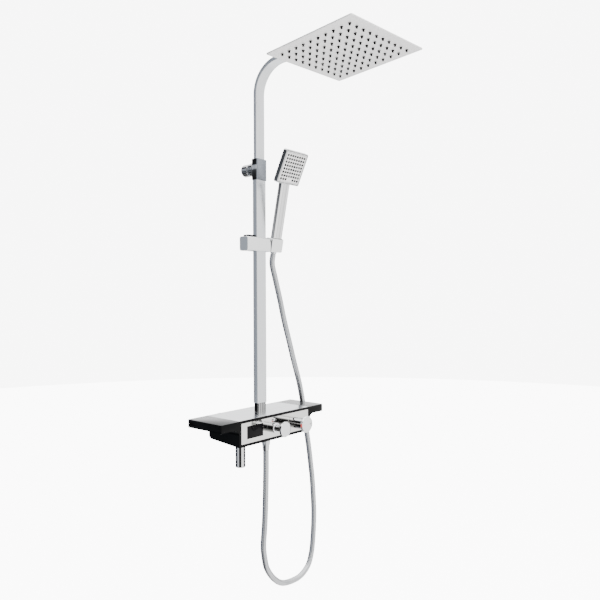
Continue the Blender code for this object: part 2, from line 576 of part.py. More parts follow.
def wall_bracket():
    sleeve = outline(round_rect(COL_X - SLEEVE_W / 2, COL_X + SLEEVE_W / 2,
                                COL_Y - SLEEVE_D / 2, COL_Y + SLEEVE_D / 2, 0.003, 3), "XY",
                     SLEEVE_Z0, SLEEVE_Z1)
    sleeve = bevel(sleeve, 0.0012, 2, 60)
    hole = rounded_bar(TUBE_W + 2 * GAP, TUBE_D + 2 * GAP, 0.55, 0.75, 0.0018, 3)
    finish(cut(sleeve, hole), "bracket_sleeve", "chrome", (COL_X, COL_Y, WALL_FIX_Z))

    at = (COL_X, 0, WALL_FIX_Z)
    back = -(COL_Y + SLEEVE_D / 2)
    core = [(0.0040, 0.0240), (0.0132, 0.0240), (0.0132, 0.0), (0.0032, 0.0),
            (0.0032, 0.0030), (0.0040, 0.0032), (0.0040, 0.0240)]
    finish(lathe(core, at, (0, -1, 0), 20), "wall_core", "steel", at)
    flange = [(0.0135, 0.0186), (0.0148, 0.0186), (0.0155, 0.0178), (0.0155, 0.0004),
              (0.0152, 0.0), (0.0135, 0.0), (0.0135, 0.0186)]
    finish(lathe(flange, at, (0, -1, 0), 28), "wall_flange", "chrome", at)
    body = [(0, back - GAP), (0.0162, back - GAP), (0.0170, back - 0.0012), (0.0170, 0.0255),
            (0.0160, 0.0245), (0.0, 0.0245)]
    body = lathe(body, at, (0, -1, 0), 28)
    screw_x = COL_X - 0.0170
    seat = cylinder(0.0022, 0.0022, (screw_x - 0.002, -0.031, WALL_FIX_Z),
                    (screw_x + 0.0050, -0.031, WALL_FIX_Z), 12)
    finish(cut(body, seat), "standoff", "chrome", at)
    screw = cylinder(0.0019, 0.0019, (screw_x + 0.0008, -0.031, WALL_FIX_Z),
                     (screw_x + 0.0046, -0.031, WALL_FIX_Z), 12)
    socket = cylinder(0.0010, 0.0010, (screw_x - 0.002, -0.031, WALL_FIX_Z),
                      (screw_x + 0.0028, -0.031, WALL_FIX_Z), 6)
    finish(cut(screw, socket), "bracket_screw", "steel", (screw_x, -0.031, WALL_FIX_Z))
    anchor = [(0, 0.0066), (0.0030, 0.0066), (0.0036, 0.0060), (0.0036, 0.0036),
              (0.0028, 0.0030), (0.0028, 0.0), (0, 0)]
    finish(lathe(anchor, at, (0, -1, 0), 12), "wall_screw", "steel", at)


# ---------------------------------------------------------------- overhead shower
def head_frame():
    """The square head's own frame: face centre, face looking down local -Z."""
    turn = (Matrix.Rotation(HEAD_YAW, 4, "Z") @ Matrix.Rotation(HEAD_ROLL, 4, "Y")
            @ Matrix.Rotation(HEAD_PITCH, 4, "X"))
    return Matrix.Translation(HEAD_CENTRE) @ turn


def nozzle_points(count, pitch, skip=()):
    middle = (count - 1) / 2
    return [((i - middle) * pitch, (j - middle) * pitch) for j in range(count)
            for i in range(count) if (i, j) not in skip]


def nozzle_set(points, radius, tip, low, high):
    """Many small pins in one mesh, widest at the high end."""
    bm = bmesh.new()
    for u, v in points:
        spot = Matrix.Translation((u, v, (low + high) / 2))
        bmesh.ops.create_cone(bm, cap_ends=True, segments=5, radius1=tip, radius2=radius,
                              depth=high - low, matrix=spot)
    return from_bmesh("nozzles", bm)


def overhead_shower():
    frame = head_frame()
    half = HEAD_SIDE / 2
    centre = frame @ Vector((0, 0, HEAD_T + BALL_LIFT - 0.0040))
    shell = outline(round_rect(-half, half, -half, half, HEAD_R, 4), "XY", 0.0, HEAD_T)
    shell = bevel(shell, 0.0010, 2, 60)
    boss = lathe([(0, 0.0098), (0.0115, 0.0098), (0.0125, 0.0088), (0.0125, 0.0020),
                  (0, 0.0020)], (0, 0, HEAD_T - 0.003), (0, 0, 1), 20)
    inner = half - 0.0025
    tray = outline(round_rect(-inner, inner, -inner, inner, 0.002, 2), "XY", -0.001, 0.0042)
    bore = cylinder(0.0045, 0.0045, (0, 0, 0.002), (0, 0, 0.03), 16)
    seat = sphere(BALL_R + GAP, frame.inverted() @ centre, 20, 10)
    shell = cut(join(shell, boss), tray, bore, seat)
    finish(place(shell, frame), "head_shell", "chrome", centre, frame.to_3x3())

    inner -= GAP
    face = outline(round_rect(-inner, inner, -inner, inner, 0.0018, 2), "XY", 0.0, 0.0014)
    points = nozzle_points(NOZZLE_GRID, NOZZLE_STEP)
    face = join(face, nozzle_set(points, 0.0022, 0.0015, -0.0012, 0.0010))
    finish(place(face, frame), "head_nozzles", "grey_rubber", centre, frame.to_3x3())
    plate = outline(round_rect(-inner, inner, -inner, inner, 0.0018, 2), "XY", 0.0017, 0.0035)
    slots = [box(x - 0.006, x + 0.006, -0.095, 0.095, 0.0, 0.006) for x in (-0.077, 0.0, 0.077)]
    finish(place(cut(plate, *slots), frame), "head_plate", "grey_plastic", centre,
           frame.to_3x3())

    ball_joint(frame, centre)


def sphere(radius, centre, around, along):
    bm = bmesh.new()
    bmesh.ops.create_uvsphere(bm, u_segments=around, v_segments=along, radius=radius,
                              matrix=Matrix.Translation(centre))
    return from_bmesh("sphere", bm)


def ball_joint(frame, centre):
    """Nipple in the arm with the ball, seal and seat round the ball, nut on the head's boss."""
    turn = frame.to_3x3()
    up = turn @ Vector((0, 0, 1))
    nut = [(0.0062, 0.0066), (0.0074, 0.0066), (0.0128, 0.0040), (0.0140, 0.0030),
           (0.0140, -0.0062), (0.0132, -0.0070), (0.0128, -0.0070), (0.0128, -0.0039),
           (0.01035, -0.0039), (0.01035, 0.0), (0.0101, 0.0022), (0.0094, 0.0043),
           (0.0077, 0.0044), (0.0062, 0.0066)]
    finish(lathe(nut, centre, up, 24), "ball_nut", "chrome", centre, turn)
    seal = [(0.0088, 0.0012), (0.0097, 0.0012), (0.0098, 0.0), (0.0097, -0.0012),
            (0.0088, -0.0012), (0.0088, 0.0012)]
    finish(lathe(seal, centre, up, 20), "ball_seal", "black_rubber", centre, turn)
    seat = [(0.00845, -0.0032), (0.0098, -0.0032), (0.0098, -0.0038), (0.00815, -0.0038),
            (0.00845, -0.0032)]
    finish(lathe(seat, centre, up, 20), "ball_seat", "grey_plastic", centre, turn)
    top, neck = ARM_BOTTOM - GAP, 0.0042
    stem = [(0, top), (0.0090, top), (0.0090, top - 0.0012), (neck, top - 0.0012),
            (neck, centre.z + 0.0030), (0, centre.z + 0.0030)]
    x, y = centre.x, centre.y
    stem = join(lathe(stem, (x, y, 0), (0, 0, 1), 16), sphere(BALL_R, centre, 20, 10))
    water = cylinder(0.0025, 0.0025, (x, y, centre.z - 0.02), (x, y, top + 0.01), 10)
    finish(cut(stem, water), "arm_nipple", "chrome", centre)


# ---------------------------------------------------------------- slider and cradle
def slider():
    body = outline(round_rect(SLIDER_Y0, SLIDER_Y1, SLIDER_Z0, SLIDER_Z1, 0.0055, 4), "YZ",
                   SLIDER_X0, SLIDER_X1)
    body = bevel(body, 0.0010, 2, 60)
    hole = rounded_bar(TUBE_W + 2 * GAP, TUBE_D + 2 * GAP, 0.40, 0.50, 0.0018, 3)
    pocket = box(-0.0294 - GAP, -0.0010 + GAP, COL_Y - 0.0085 - GAP, COL_Y + 0.0085 + GAP,
                 0.4400, 0.47)
    seat = box(-0.0012, 0.0040, COL_Y - 0.0050, COL_Y + 0.0050, 0.4290, 0.4385)
    pin_hole = cylinder(0.0042, 0.0042, (0.0385, PIVOT_Y, PIVOT_Z), (0.0500, PIVOT_Y, PIVOT_Z), 20)
    spring_hole = cylinder(0.0040, 0.0040, (-0.0160, COL_Y, 0.4320), (-0.0160, COL_Y, 0.4500), 20)
    body = cut(body, hole, pocket, pin_hole, spring_hole)
    body = cut(body, seat)
    finish(body, "slider_body", "chrome", (COL_X, COL_Y, PIVOT_Z))

    button = outline(round_rect(-0.0294, -0.0010, COL_Y - 0.0085, COL_Y + 0.0085, 0.002, 3),
                     "XY", 0.4520, 0.4680)
    finish(bevel(button, 0.0012, 2, 60), "slider_button", "gloss_black",
           (-0.0152, COL_Y, 0.4635))
    g = GAP
    pad = box(-0.0012 + g, 0.00275 - g, COL_Y - 0.0050 + g, COL_Y + 0.0050 - g,
              0.4290 + g, 0.4385 - g)
    finish(pad, "slider_pad", "black_rubber", (0, COL_Y, 0.434))
    spring = ring(0.0022, 0.0034, (-0.0160, COL_Y, 0.4323), (0, 0, 1), 0.0192, 16)
    finish(spring, "slider_spring", "steel", (-0.016, COL_Y, 0.4323))


def cradle_set():
    pin = [(0, 0.0138), (0.0036, 0.0138), (0.0040, 0.0134), (0.0040, 0.0004), (0.0036, 0.0),
           (0, 0)]
    finish(lathe(pin, (0.0387, PIVOT_Y, PIVOT_Z), (1, 0, 0), 20), "pivot_pin", "steel",
           (0.0387, PIVOT_Y, PIVOT_Z))
    washer = ring(0.0043, 0.0100, (SLIDER_X1 + GAP, PIVOT_Y, PIVOT_Z), (1, 0, 0),
                  CRADLE_X0 - SLIDER_X1 - 2 * GAP, 20)
    finish(washer, "pivot_washer", "black_rubber", (SLIDER_X1, PIVOT_Y, PIVOT_Z))

    frame = hand_frame()
    low, high = -0.0365, -0.0010
    body = outline(round_rect(-0.0085, 0.0160, low, high, 0.0040, 3), "YZ",
                   CRADLE_X0 - HAND_X, CRADLE_X1 - HAND_X)
    body = bevel(body, 0.0012, 2, 60)
    w, t = HANDLE_W / 2 + 0.0004, HANDLE_T / 2 + 0.0004
    socket = outline(round_rect(-w, w, -t, t, 0.0016, 2), "XY", -HANDLE_BELOW - 0.0008, 0.01)
    tunnel = cylinder(NUT_R + 0.0005, NUT_R + 0.0005, (0, NUT_OFFSET, -0.05),
                      (0, NUT_OFFSET, 0.015), 24)
    body = place(cut(body, socket, tunnel), frame)
    pin_hole = cylinder(0.0043, 0.0043, (0.045, PIVOT_Y, PIVOT_Z), (0.0528, PIVOT_Y, PIVOT_Z), 20)
    finish(cut(body, pin_hole), "cradle", "chrome", (HAND_X, PIVOT_Y, PIVOT_Z))


# ---------------------------------------------------------------- hand shower
def hand_frame():
    """The handle's own frame: local Z runs up the handle, local -Y is its front."""
    return Matrix.Translation((HAND_X, HAND_Y, HAND_Z)) @ Matrix.Rotation(TILT, 4, "X")


def hand_face_frame():
    """The spray face's frame: centre of the face, local Z up the face, -Y outwards."""
    y, z = HAND_FACE_BOTTOM
    turn = Matrix.Rotation(FACE_LEAN, 4, "X")
    up = turn.to_3x3() @ Vector((0, 0, 1))
    centre = Vector((HAND_X, y, z)) + up * (HAND_HEAD_H / 2)
    return Matrix.Translation(centre) @ turn


def handset():
    grip = hand_frame()
    face = hand_face_frame()
    w, t = HANDLE_W / 2, HANDLE_T / 2
    length = 0.150
    stick = outline(round_rect(-w, w, -t, t, 0.0015, 2), "XY", -HANDLE_BELOW, length)
    stick = place(stick, grip)
    hw, hh = HAND_HEAD_W / 2, HAND_HEAD_H / 2
    head = outline(round_rect(-hw, hw, -hh, hh, 0.0050, 4), "XZ", 0.0, HAND_HEAD_T)
    head = place(bevel(head, 0.0010, 2, 60), face)
    body = join(stick, head)
    pocket = outline(round_rect(-hw + 0.0022, hw - 0.0022, -hh + 0.0022, hh - 0.0022, 0.003, 3),
                     "XZ", -0.002, 0.0060)
    way = place(cylinder(0.0035, 0.0035, (0, 0, -0.03), (0, 0, length - 0.004), 12), grip)
    link_way = place(cylinder(0.0030, 0.0030, (0, -0.001, -hh + 0.012),
                              (0, HAND_HEAD_T - 0.002, -hh + 0.012), 12), face)
    body = cut(body, place(pocket, face), way)
    body = cut(body, link_way)
    finish(body, "handset_body", "chrome", (HAND_X, HAND_Y, HAND_Z), grip.to_3x3())

    g = 0.0022 + GAP
    frame = outline(round_rect(-hw + g, hw - g, -hh + g, hh - g, 0.0028, 3), "XZ",
                    0.0002, 0.0022)
    win = 0.0062
    opening = outline(round_rect(-hw + win, hw - win, -hh + win, hh - win, 0.002, 2), "XZ",
                      -0.003, 0.005)
    finish(place(cut(frame, opening), face), "handset_frame", "spray_grey",
           (HAND_X, HAND_Y, HAND_Z), grip.to_3x3())

    skip = {(HAND_GRID // 2 - 1, 0), (HAND_GRID // 2, 0)}
    points = nozzle_points(HAND_GRID, HAND_PITCH, skip)
    win += GAP
    sheet = outline(round_rect(-hw + win, hw - win, -hh + win, hh - win, 0.0018, 2), "XY",
                    -0.0022, -0.0004)
    sheet = join(sheet, nozzle_set(points, 0.0013, 0.0010, -0.0010, 0.0006))
    flip = Matrix.Rotation(math.pi / 2, 4, "X")
    finish(place(sheet, face @ flip), "handset_nozzles", "grey_rubber",
           (HAND_X, HAND_Y, HAND_Z), grip.to_3x3())

    nut = [(0, 0.0), (0.0074, 0.0), (NUT_R, -0.0010), (NUT_R, -0.0120), (0.0078, -0.0180),
           (0.0076, -0.0185), (0, -0.0185)]
    top = grip @ Vector((0, NUT_OFFSET, -HANDLE_BELOW - GAP))
    up = grip.to_3x3() @ Vector((0, 0, 1))
    finish(lathe(nut, top, up, 24), "hose_nut_handset", "chrome", top)


# ---------------------------------------------------------------- shower hose
def smooth_route(route, steps=12):
    """Points of a smooth curve through the route's own points."""
    knots = [Vector(p) for p in route]
    knots = [2 * knots[0] - knots[1]] + knots + [2 * knots[-1] - knots[-2]]
    fine = []
    for a, b, c, d in zip(knots, knots[1:], knots[2:], knots[3:]):
        for k in range(steps):
            t = k / steps
            fine.append(0.5 * (2 * b + (c - a) * t + (2 * a - 5 * b + 4 * c - d) * t * t
                               + (3 * b - a - 3 * c + d) * t ** 3))
    return fine + [knots[-2]]


def even_points(fine, step):
    """The same line with points at nearly even spacing."""
    spans = [(b - a).length for a, b in zip(fine, fine[1:])]
    count = max(2, round(sum(spans) / step))
    wanted = [sum(spans) * i / count for i in range(count + 1)]
    found, done = [], 0.0
    index = 0
    for target in wanted:
        while index < len(spans) - 1 and done + spans[index] < target:
            done += spans[index]
            index += 1
        share = min(1.0, max(0.0, (target - done) / spans[index]))
        found.append(fine[index].lerp(fine[index + 1], share))
    return found


def shower_hose():
    points = even_points(smooth_route(HOSE_ROUTE), HOSE_STEP)
    curve = bpy.data.curves.new("shower_hose", "CURVE")
    curve.dimensions = "3D"
    curve.bevel_depth = HOSE_R
    curve.bevel_resolution = 2
    curve.use_fill_caps = True
    spline = curve.splines.new("POLY")
    spline.points.add(len(points) - 1)
    for spot, point in zip(spline.points, points):
        spot.co = (*point, 1.0)
    obj = link(bpy.data.objects.new("shower_hose", curve), CUTTERS)
    finish(to_mesh(obj), "shower_hose", "hose_chrome", HOSE_ROUTE[0])


mixer_housing()
shelf_top_plate()
faceplate()
display()
valve_body()
cartridges()
hydro_generator()
inlets()
index_stud()
knobs()
spout()
hose_outlet()
column_foot()
lower_tube()
riser_arm()
wall_bracket()
overhead_shower()
slider()
cradle_set()
handset()
shower_hose()
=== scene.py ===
"""Rainfall shower column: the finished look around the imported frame.

Every visible piece is a detailed mesh that rides on its CAD body and stands for its node.
Metres, +Z up, origin on the wall plane at the mixer's inlet height.
"""
import json
import math

import bmesh
import bpy
from mathutils import Matrix, Vector
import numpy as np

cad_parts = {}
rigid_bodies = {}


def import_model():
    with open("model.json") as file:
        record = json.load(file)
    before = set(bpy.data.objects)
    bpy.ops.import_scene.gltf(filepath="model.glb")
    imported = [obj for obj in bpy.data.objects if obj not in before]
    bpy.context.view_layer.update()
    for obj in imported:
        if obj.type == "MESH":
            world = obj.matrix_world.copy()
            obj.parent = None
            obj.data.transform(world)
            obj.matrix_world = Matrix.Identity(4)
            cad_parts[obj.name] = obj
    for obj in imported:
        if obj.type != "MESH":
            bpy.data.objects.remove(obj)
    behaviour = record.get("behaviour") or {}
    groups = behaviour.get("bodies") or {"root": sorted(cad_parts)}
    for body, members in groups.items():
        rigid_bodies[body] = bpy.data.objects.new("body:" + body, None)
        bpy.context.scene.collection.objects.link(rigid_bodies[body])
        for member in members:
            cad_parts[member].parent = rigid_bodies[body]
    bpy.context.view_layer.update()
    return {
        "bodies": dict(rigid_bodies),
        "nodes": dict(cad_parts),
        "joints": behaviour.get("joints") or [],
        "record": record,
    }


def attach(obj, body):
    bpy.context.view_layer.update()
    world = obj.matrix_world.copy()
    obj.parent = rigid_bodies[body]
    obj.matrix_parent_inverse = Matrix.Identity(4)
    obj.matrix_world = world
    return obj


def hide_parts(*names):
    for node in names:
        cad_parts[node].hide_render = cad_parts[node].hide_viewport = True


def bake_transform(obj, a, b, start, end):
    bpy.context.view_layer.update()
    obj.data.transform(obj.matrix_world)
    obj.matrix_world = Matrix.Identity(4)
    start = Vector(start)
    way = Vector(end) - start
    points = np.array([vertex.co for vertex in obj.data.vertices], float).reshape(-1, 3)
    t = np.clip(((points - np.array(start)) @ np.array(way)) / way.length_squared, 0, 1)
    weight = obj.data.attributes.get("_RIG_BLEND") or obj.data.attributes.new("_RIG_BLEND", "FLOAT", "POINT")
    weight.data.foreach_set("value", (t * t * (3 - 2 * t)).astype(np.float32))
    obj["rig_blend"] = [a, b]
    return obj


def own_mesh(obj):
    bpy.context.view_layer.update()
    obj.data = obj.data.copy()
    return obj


for item in list(bpy.data.objects):
    bpy.data.objects.remove(item, do_unlink=True)

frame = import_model()
RECORD = frame["record"]
BODY_OF = {n: b for b, nodes in RECORD["behaviour"]["bodies"].items() for n in nodes}

# Camera, fitted to the view of the photograph, with no shift
CAM_AT = (-1.1132, -1.1407, 0.3145)
CAM_YAW, CAM_PITCH, CAM_ROLL = (math.radians(a) for a in (-49.78, -0.32, 0.23))
CAM_LENS, CAM_SENSOR = 37.29, 36.0

GAP = 0.0003          # air between neighbouring pieces
UP, OUT = (0, 0, 1), (0, -1, 0)

# Mixer and shelf
WING_X, WING_TOP, WING_BOTTOM = 0.1814, 0.0305, 0.0115
BACK_Y, FRONT_Y, BODY_BACK_Y = -0.009, -0.1236, -0.020
BODY_X, BODY_BOTTOM, BODY_BACK_BOTTOM = 0.1255, -0.0305, -0.0225
FILLET = 0.015
WALL = 0.003
TOP_PLATE_X, TOP_PLATE_T, TOP_SET_BACK = 0.1235, 0.0017, 0.0025
FACE_X, FACE_Z0, FACE_Z1, FACE_T = 0.119, -0.0238, 0.0244, 0.002
DISPLAY = (-0.1012, -0.0477, -0.0140, 0.0157)      # its limits in x, then in z
KNOB_Z = 0.0018
DIVERTER_X, TEMPERATURE_X = -0.0217, 0.0559
KNOB_HOLES = ((DIVERTER_X, KNOB_Z, 0.0118), (TEMPERATURE_X, KNOB_Z, 0.0133))
STUD_X, STUD_Z = -0.0112, 0.018
INLET_X = 0.075
SPOUT_X, SPOUT_Y, SPOUT_BOTTOM = -0.084, -0.084, -0.088
OUTLET_X, OUTLET_Y = 0.0205, -0.068

# Column
COL_X, COL_Y = 0.0195, -0.0495
COLLAR_W, COLLAR_D, COLLAR_TOP = 0.0310, 0.0125, 0.0475
TUBE_W, TUBE_D, TUBE_WALL, TUBE_TOP = 0.0335, 0.0148, 0.0011, 0.655
RISER_W, RISER_D, RISER_WALL, RISER_BOTTOM = 0.0304, 0.0098, 0.0012, 0.380
BEND_Z, BEND_INNER, ARM_END_Y = 0.8211, 0.069, -0.336
ARM_BOTTOM = BEND_Z + BEND_INNER
SLEEVE_W, SLEEVE_D, SLEEVE_Z0, SLEEVE_Z1 = 0.0374, 0.020, 0.6075, 0.6605
WALL_FIX_Z = 0.637

# Overhead shower
HEAD_CENTRE = Vector((0.0199, -0.3162, 0.8629))
HEAD_SIDE, HEAD_T, HEAD_R, HEAD_RIM = 0.250, 0.0062, 0.004, 0.0030
HEAD_YAW, HEAD_ROLL, HEAD_PITCH = map(math.radians, (-4.54, -0.11, -2.31))
NOZZLE_GRID, NOZZLE_STEP = 10, 0.02193
BALL_R, BALL_LIFT = 0.0085, 0.0150

# Slider, cradle and hand shower
SLIDER_X0, SLIDER_X1, SLIDER_Y0, SLIDER_Y1 = -0.0365, 0.0465, -0.064, -0.035
SLIDER_Z0, SLIDER_Z1 = 0.428, 0.4635
PIVOT_Y, PIVOT_Z = -0.0495, 0.446
CRADLE_X0, CRADLE_X1 = 0.049, 0.090
TILT = math.radians(11.8)
HAND_X, HAND_Y, HAND_Z = 0.0695, -0.0612, 0.465
HANDLE_W, HANDLE_T, HANDLE_BELOW = 0.0315, 0.011, 0.022
FACE_LEAN = math.radians(25.7)
HAND_HEAD_W, HAND_HEAD_H, HAND_HEAD_T = 0.083, 0.0845, 0.0125
HAND_FACE_BOTTOM = (-0.1006, 0.598)
HAND_GRID, HAND_PITCH = 8, 0.0086
NUT_OFFSET, NUT_R = 0.0025, 0.0082

# Shower hose: route of its centre line, handset nut to mixer outlet
HOSE_ROUTE = [
    (0.0695, -0.0498, 0.4246), (0.0725, -0.0440, 0.3985), (0.0870, -0.0425, 0.3570),
    (0.1030, -0.0430, 0.3060), (0.1190, -0.0430, 0.2520), (0.1390, -0.0420, 0.1980),
    (0.1590, -0.0410, 0.1430), (0.1810, -0.0400, 0.0860), (0.1950, -0.0390, 0.0410),
    (0.2060, -0.0390, -0.0100), (0.2160, -0.0390, -0.0630), (0.2250, -0.0390, -0.1070),
    (0.2310, -0.0400, -0.1500), (0.2370, -0.0410, -0.1970), (0.2410, -0.0420, -0.2590),
    (0.2410, -0.0430, -0.3040), (0.2340, -0.0450, -0.3630), (0.2230, -0.0470, -0.4040),
    (0.2040, -0.0490, -0.4310), (0.1630, -0.0520, -0.4450), (0.1010, -0.0560, -0.4370),
    (0.0610, -0.0590, -0.4130), (0.0290, -0.0620, -0.3740), (0.0160, -0.0640, -0.3330),
    (0.0130, -0.0650, -0.3050), (0.0160, -0.0660, -0.2650), (0.0180, -0.0675, -0.2100),
    (0.0200, -0.0680, -0.1290), (0.0205, -0.0680, -0.0713),
]


PIECES = bpy.data.collections.new("pieces")
WORK = bpy.data.collections.new("work")
for group in (PIECES, WORK):
    bpy.context.scene.collection.children.link(group)


# ---------------------------------------------------------------- camera, light, floor
def make_camera():
    data = bpy.data.cameras.new("camera")
    data.sensor_width, data.lens = CAM_SENSOR, CAM_LENS
    data.clip_start, data.clip_end = 0.05, 60.0
    cam = bpy.data.objects.new("camera", data)
    bpy.context.scene.collection.objects.link(cam)
    cam.matrix_world = (Matrix.Translation(CAM_AT) @ Matrix.Rotation(CAM_YAW, 4, "Z")
                        @ Matrix.Rotation(CAM_PITCH, 4, "X") @ Matrix.Rotation(CAM_ROLL, 4, "Y")
                        @ Matrix.Rotation(math.radians(90), 4, "X"))
    bpy.context.scene.camera = cam


# Studio surroundings by compass bearing from +Y towards +X: bearing, radiance
STUDIO = (
    (-180, (1.90, 1.90, 1.90)), (-142, (1.80, 1.80, 1.80)), (-137, (0.04, 0.04, 0.045)),
    (-124, (0.04, 0.04, 0.045)), (-118, (1.50, 1.52, 1.55)), (-84, (0.80, 0.84, 0.90)),
    (-66, (0.40, 0.44, 0.50)), (-30, (0.40, 0.44, 0.50)), (-10, (0.90, 0.93, 0.98)),
    (14, (1.70, 1.71, 1.74)), (26, (2.20, 2.21, 2.24)), (74, (2.20, 2.20, 2.22)),
    (86, (1.90, 1.90, 1.92)), (104, (1.95, 1.95, 1.95)),
    (156, (2.00, 1.99, 1.98)),
)
# Dark walls, seen only by what lies below the camera: bearing, share of light
FLAG = ((-144, 1.0), (-140, 0.03), (-120, 0.03), (-116, 1.0), (-36, 1.0), (-26, 0.08),
        (36, 0.04), (42, 0.9), (52, 0.9), (58, 0.04), (104, 0.05), (114, 1.0))
# Bands of light and dark by height, over the left of the room: sine, share of light
BANDS = ((-1.0, 0.30), (-0.80, 0.34), (-0.62, 0.42), (-0.58, 0.04), (-0.46, 0.04),
         (-0.40, 0.9), (-0.32, 1.0), (0.42, 1.0), (0.47, 0.06), (0.58, 0.06), (0.62, 1.0),
         (1.0, 1.0))
BAND_SPAN = ((-125, 0.0), (-110, 1.0), (14, 1.0), (26, 0.0))
# Heights at which the dark walls fade in and out, and the sines between which the sky opens
LOW_SPAN = ((0.34, 0.0), (0.36, 1.0), (0.46, 1.0), (0.49, 0.0))
SKY, SKY_SPAN = (3.6, 3.6, 3.6), (0.60, 0.80)
PEAK, WHITE = 4.0, 8.0


def node(tree, kind, **values):
    """A shader node with its properties set; keys with an i_ prefix are inputs."""
    new = tree.nodes.new(kind)
    for key, value in values.items():
        if key.startswith("i_"):
            new.inputs[key[2:].replace("_", " ")].default_value = value
        else:
            setattr(new, key, value)
    return new


def ramp(tree, stops, link_from):
    new = tree.nodes.new("ShaderNodeValToRGB")
    band = new.color_ramp
    while len(band.elements) < len(stops):
        band.elements.new(0.5)
    for element, (at, colour) in zip(band.elements, stops):
        element.position = at
        element.color = (*colour, 1.0) if hasattr(colour, "__len__") else (*[colour] * 3, 1.0)
    tree.links.new(link_from, new.inputs[0])
    return new.outputs[0]


def share_of(tree, value, low, high, to=(0.0, 1.0), **values):
    """Where a value lies between two others, carried over to the span given by to."""
    new = node(tree, "ShaderNodeMapRange", **values)
    for key, number in zip(("From Min", "From Max", "To Min", "To Max"), (low, high, *to)):
        new.inputs[key].default_value = number
    tree.links.new(value, new.inputs["Value"])
    return new.outputs[0]


def mix(tree, factor, first, second, kind="MIX"):
    """Mix two colours; the second may be a plain colour."""
    new = node(tree, "ShaderNodeMix", data_type="RGBA", blend_type=kind)
    for value, socket in ((factor, "Factor"), (first, 6), (second, 7)):
        if isinstance(value, tuple):
            new.inputs[socket].default_value = value
        else:
            tree.links.new(value, new.inputs[socket])
    return new.outputs[2]


def axes_of(tree, output):
    new = node(tree, "ShaderNodeSeparateXYZ")
    tree.links.new(output, new.inputs[0])
    return new.outputs


def bearing(tree, across, up):
    """The bearing of two components as a share of the full turn that starts at -180."""
    turn = node(tree, "ShaderNodeMath", operation="ARCTAN2")
    tree.links.new(across, turn.inputs[0])
    tree.links.new(up, turn.inputs[1])
    return share_of(tree, turn.outputs[0], -math.pi, math.pi)


def bearing_ramp(tree, stops, share):
    """A ramp whose stops are given in degrees."""
    return ramp(tree, [((angle + 180) / 360, tone) for angle, tone in stops], share)


def make_world():
    """White to the eye, with a soft studio of lighter and darker walls to reflect."""
    world = bpy.data.worlds.new("studio")
    bpy.context.scene.world = world
    world.use_nodes = True
    tree = world.node_tree
    tree.nodes.clear()
    link = tree.links.new
    coord = node(tree, "ShaderNodeTexCoord")
    x, y, z = axes_of(tree, coord.outputs["Generated"])
    round_about = bearing(tree, x, y)
    height = share_of(tree, z, -1.0, 1.0)
    walls = bearing_ramp(tree, [(a, [v / PEAK for v in c]) for a, c in STUDIO], round_about)
    low = ramp(tree, LOW_SPAN, height)
    dark = mix(tree, low, walls, bearing_ramp(tree, FLAG, round_about), "MULTIPLY")
    bands = ramp(tree, [((sine + 1) / 2, v) for sine, v in BANDS], height)
    banded = mix(tree, bearing_ramp(tree, BAND_SPAN, round_about), dark, bands, "MULTIPLY")
    high = share_of(tree, z, *SKY_SPAN, interpolation_type="SMOOTHSTEP")
    studio = node(tree, "ShaderNodeBackground", i_Strength=PEAK)
    link(mix(tree, high, banded, (*[v / PEAK for v in SKY], 1.0)), studio.inputs["Color"])
    white = node(tree, "ShaderNodeBackground", i_Strength=WHITE, i_Color=(1, 1, 1, 1))
    seen = node(tree, "ShaderNodeLightPath")
    either = node(tree, "ShaderNodeMixShader")
    link(seen.outputs["Is Camera Ray"], either.inputs[0])
    link(studio.outputs[0], either.inputs[1])
    link(white.outputs[0], either.inputs[2])
    out = node(tree, "ShaderNodeOutputWorld")
    link(either.outputs[0], out.inputs[0])


def area_light(name, at, aim, size, power):
    data = bpy.data.lights.new(name, "AREA")
    data.shape, data.size, data.energy = "SQUARE", size, power
    lamp = bpy.data.objects.new(name, data)
    bpy.context.scene.collection.objects.link(lamp)
    at, aim = Vector(at), Vector(aim)
    turn = (aim - at).to_track_quat("-Z", "Y").to_matrix().to_4x4()
    lamp.matrix_world = Matrix.Translation(at) @ turn
    lamp.visible_glossy = False
    lamp.visible_camera = False


FLOOR_Z, FLOOR_R = -1.05, 9.0


def make_stage():
    bm = bmesh.new()
    bmesh.ops.create_circle(bm, cap_ends=True, segments=96, radius=FLOOR_R)
    mesh = bpy.data.meshes.new("floor")
    bm.to_mesh(mesh)
    bm.free()
    floor = bpy.data.objects.new("floor", mesh)
    bpy.context.scene.collection.objects.link(floor)
    floor.location = (0.0, -0.1, FLOOR_Z)
    mat = bpy.data.materials.new("floor")
    mat.use_nodes = True
    shader = mat.node_tree.nodes["Principled BSDF"]
    shader.inputs["Base Color"].default_value = (0.90, 0.90, 0.90, 1.0)
    shader.inputs["Roughness"].default_value = 0.9
    shader.inputs["Emission Color"].default_value = (1.0, 1.0, 1.0, 1.0)
    shader.inputs["Emission Strength"].default_value = WHITE
    mesh.materials.append(mat)
    floor.visible_glossy = floor.visible_diffuse = False
    area_light("key", (-1.9, -2.4, 2.2), (0.0, -0.1, 0.2), 1.6, 38.0)
    area_light("fill", (2.4, -1.8, 1.4), (0.0, -0.1, 0.2), 1.8, 26.0)
    area_light("top", (0.0, -0.5, 3.2), (0.0, -0.2, 0.0), 2.2, 30.0)
    area_light("low", (-0.9, -1.5, -0.8), (0.0, -0.3, 0.9), 1.4, 60.0)


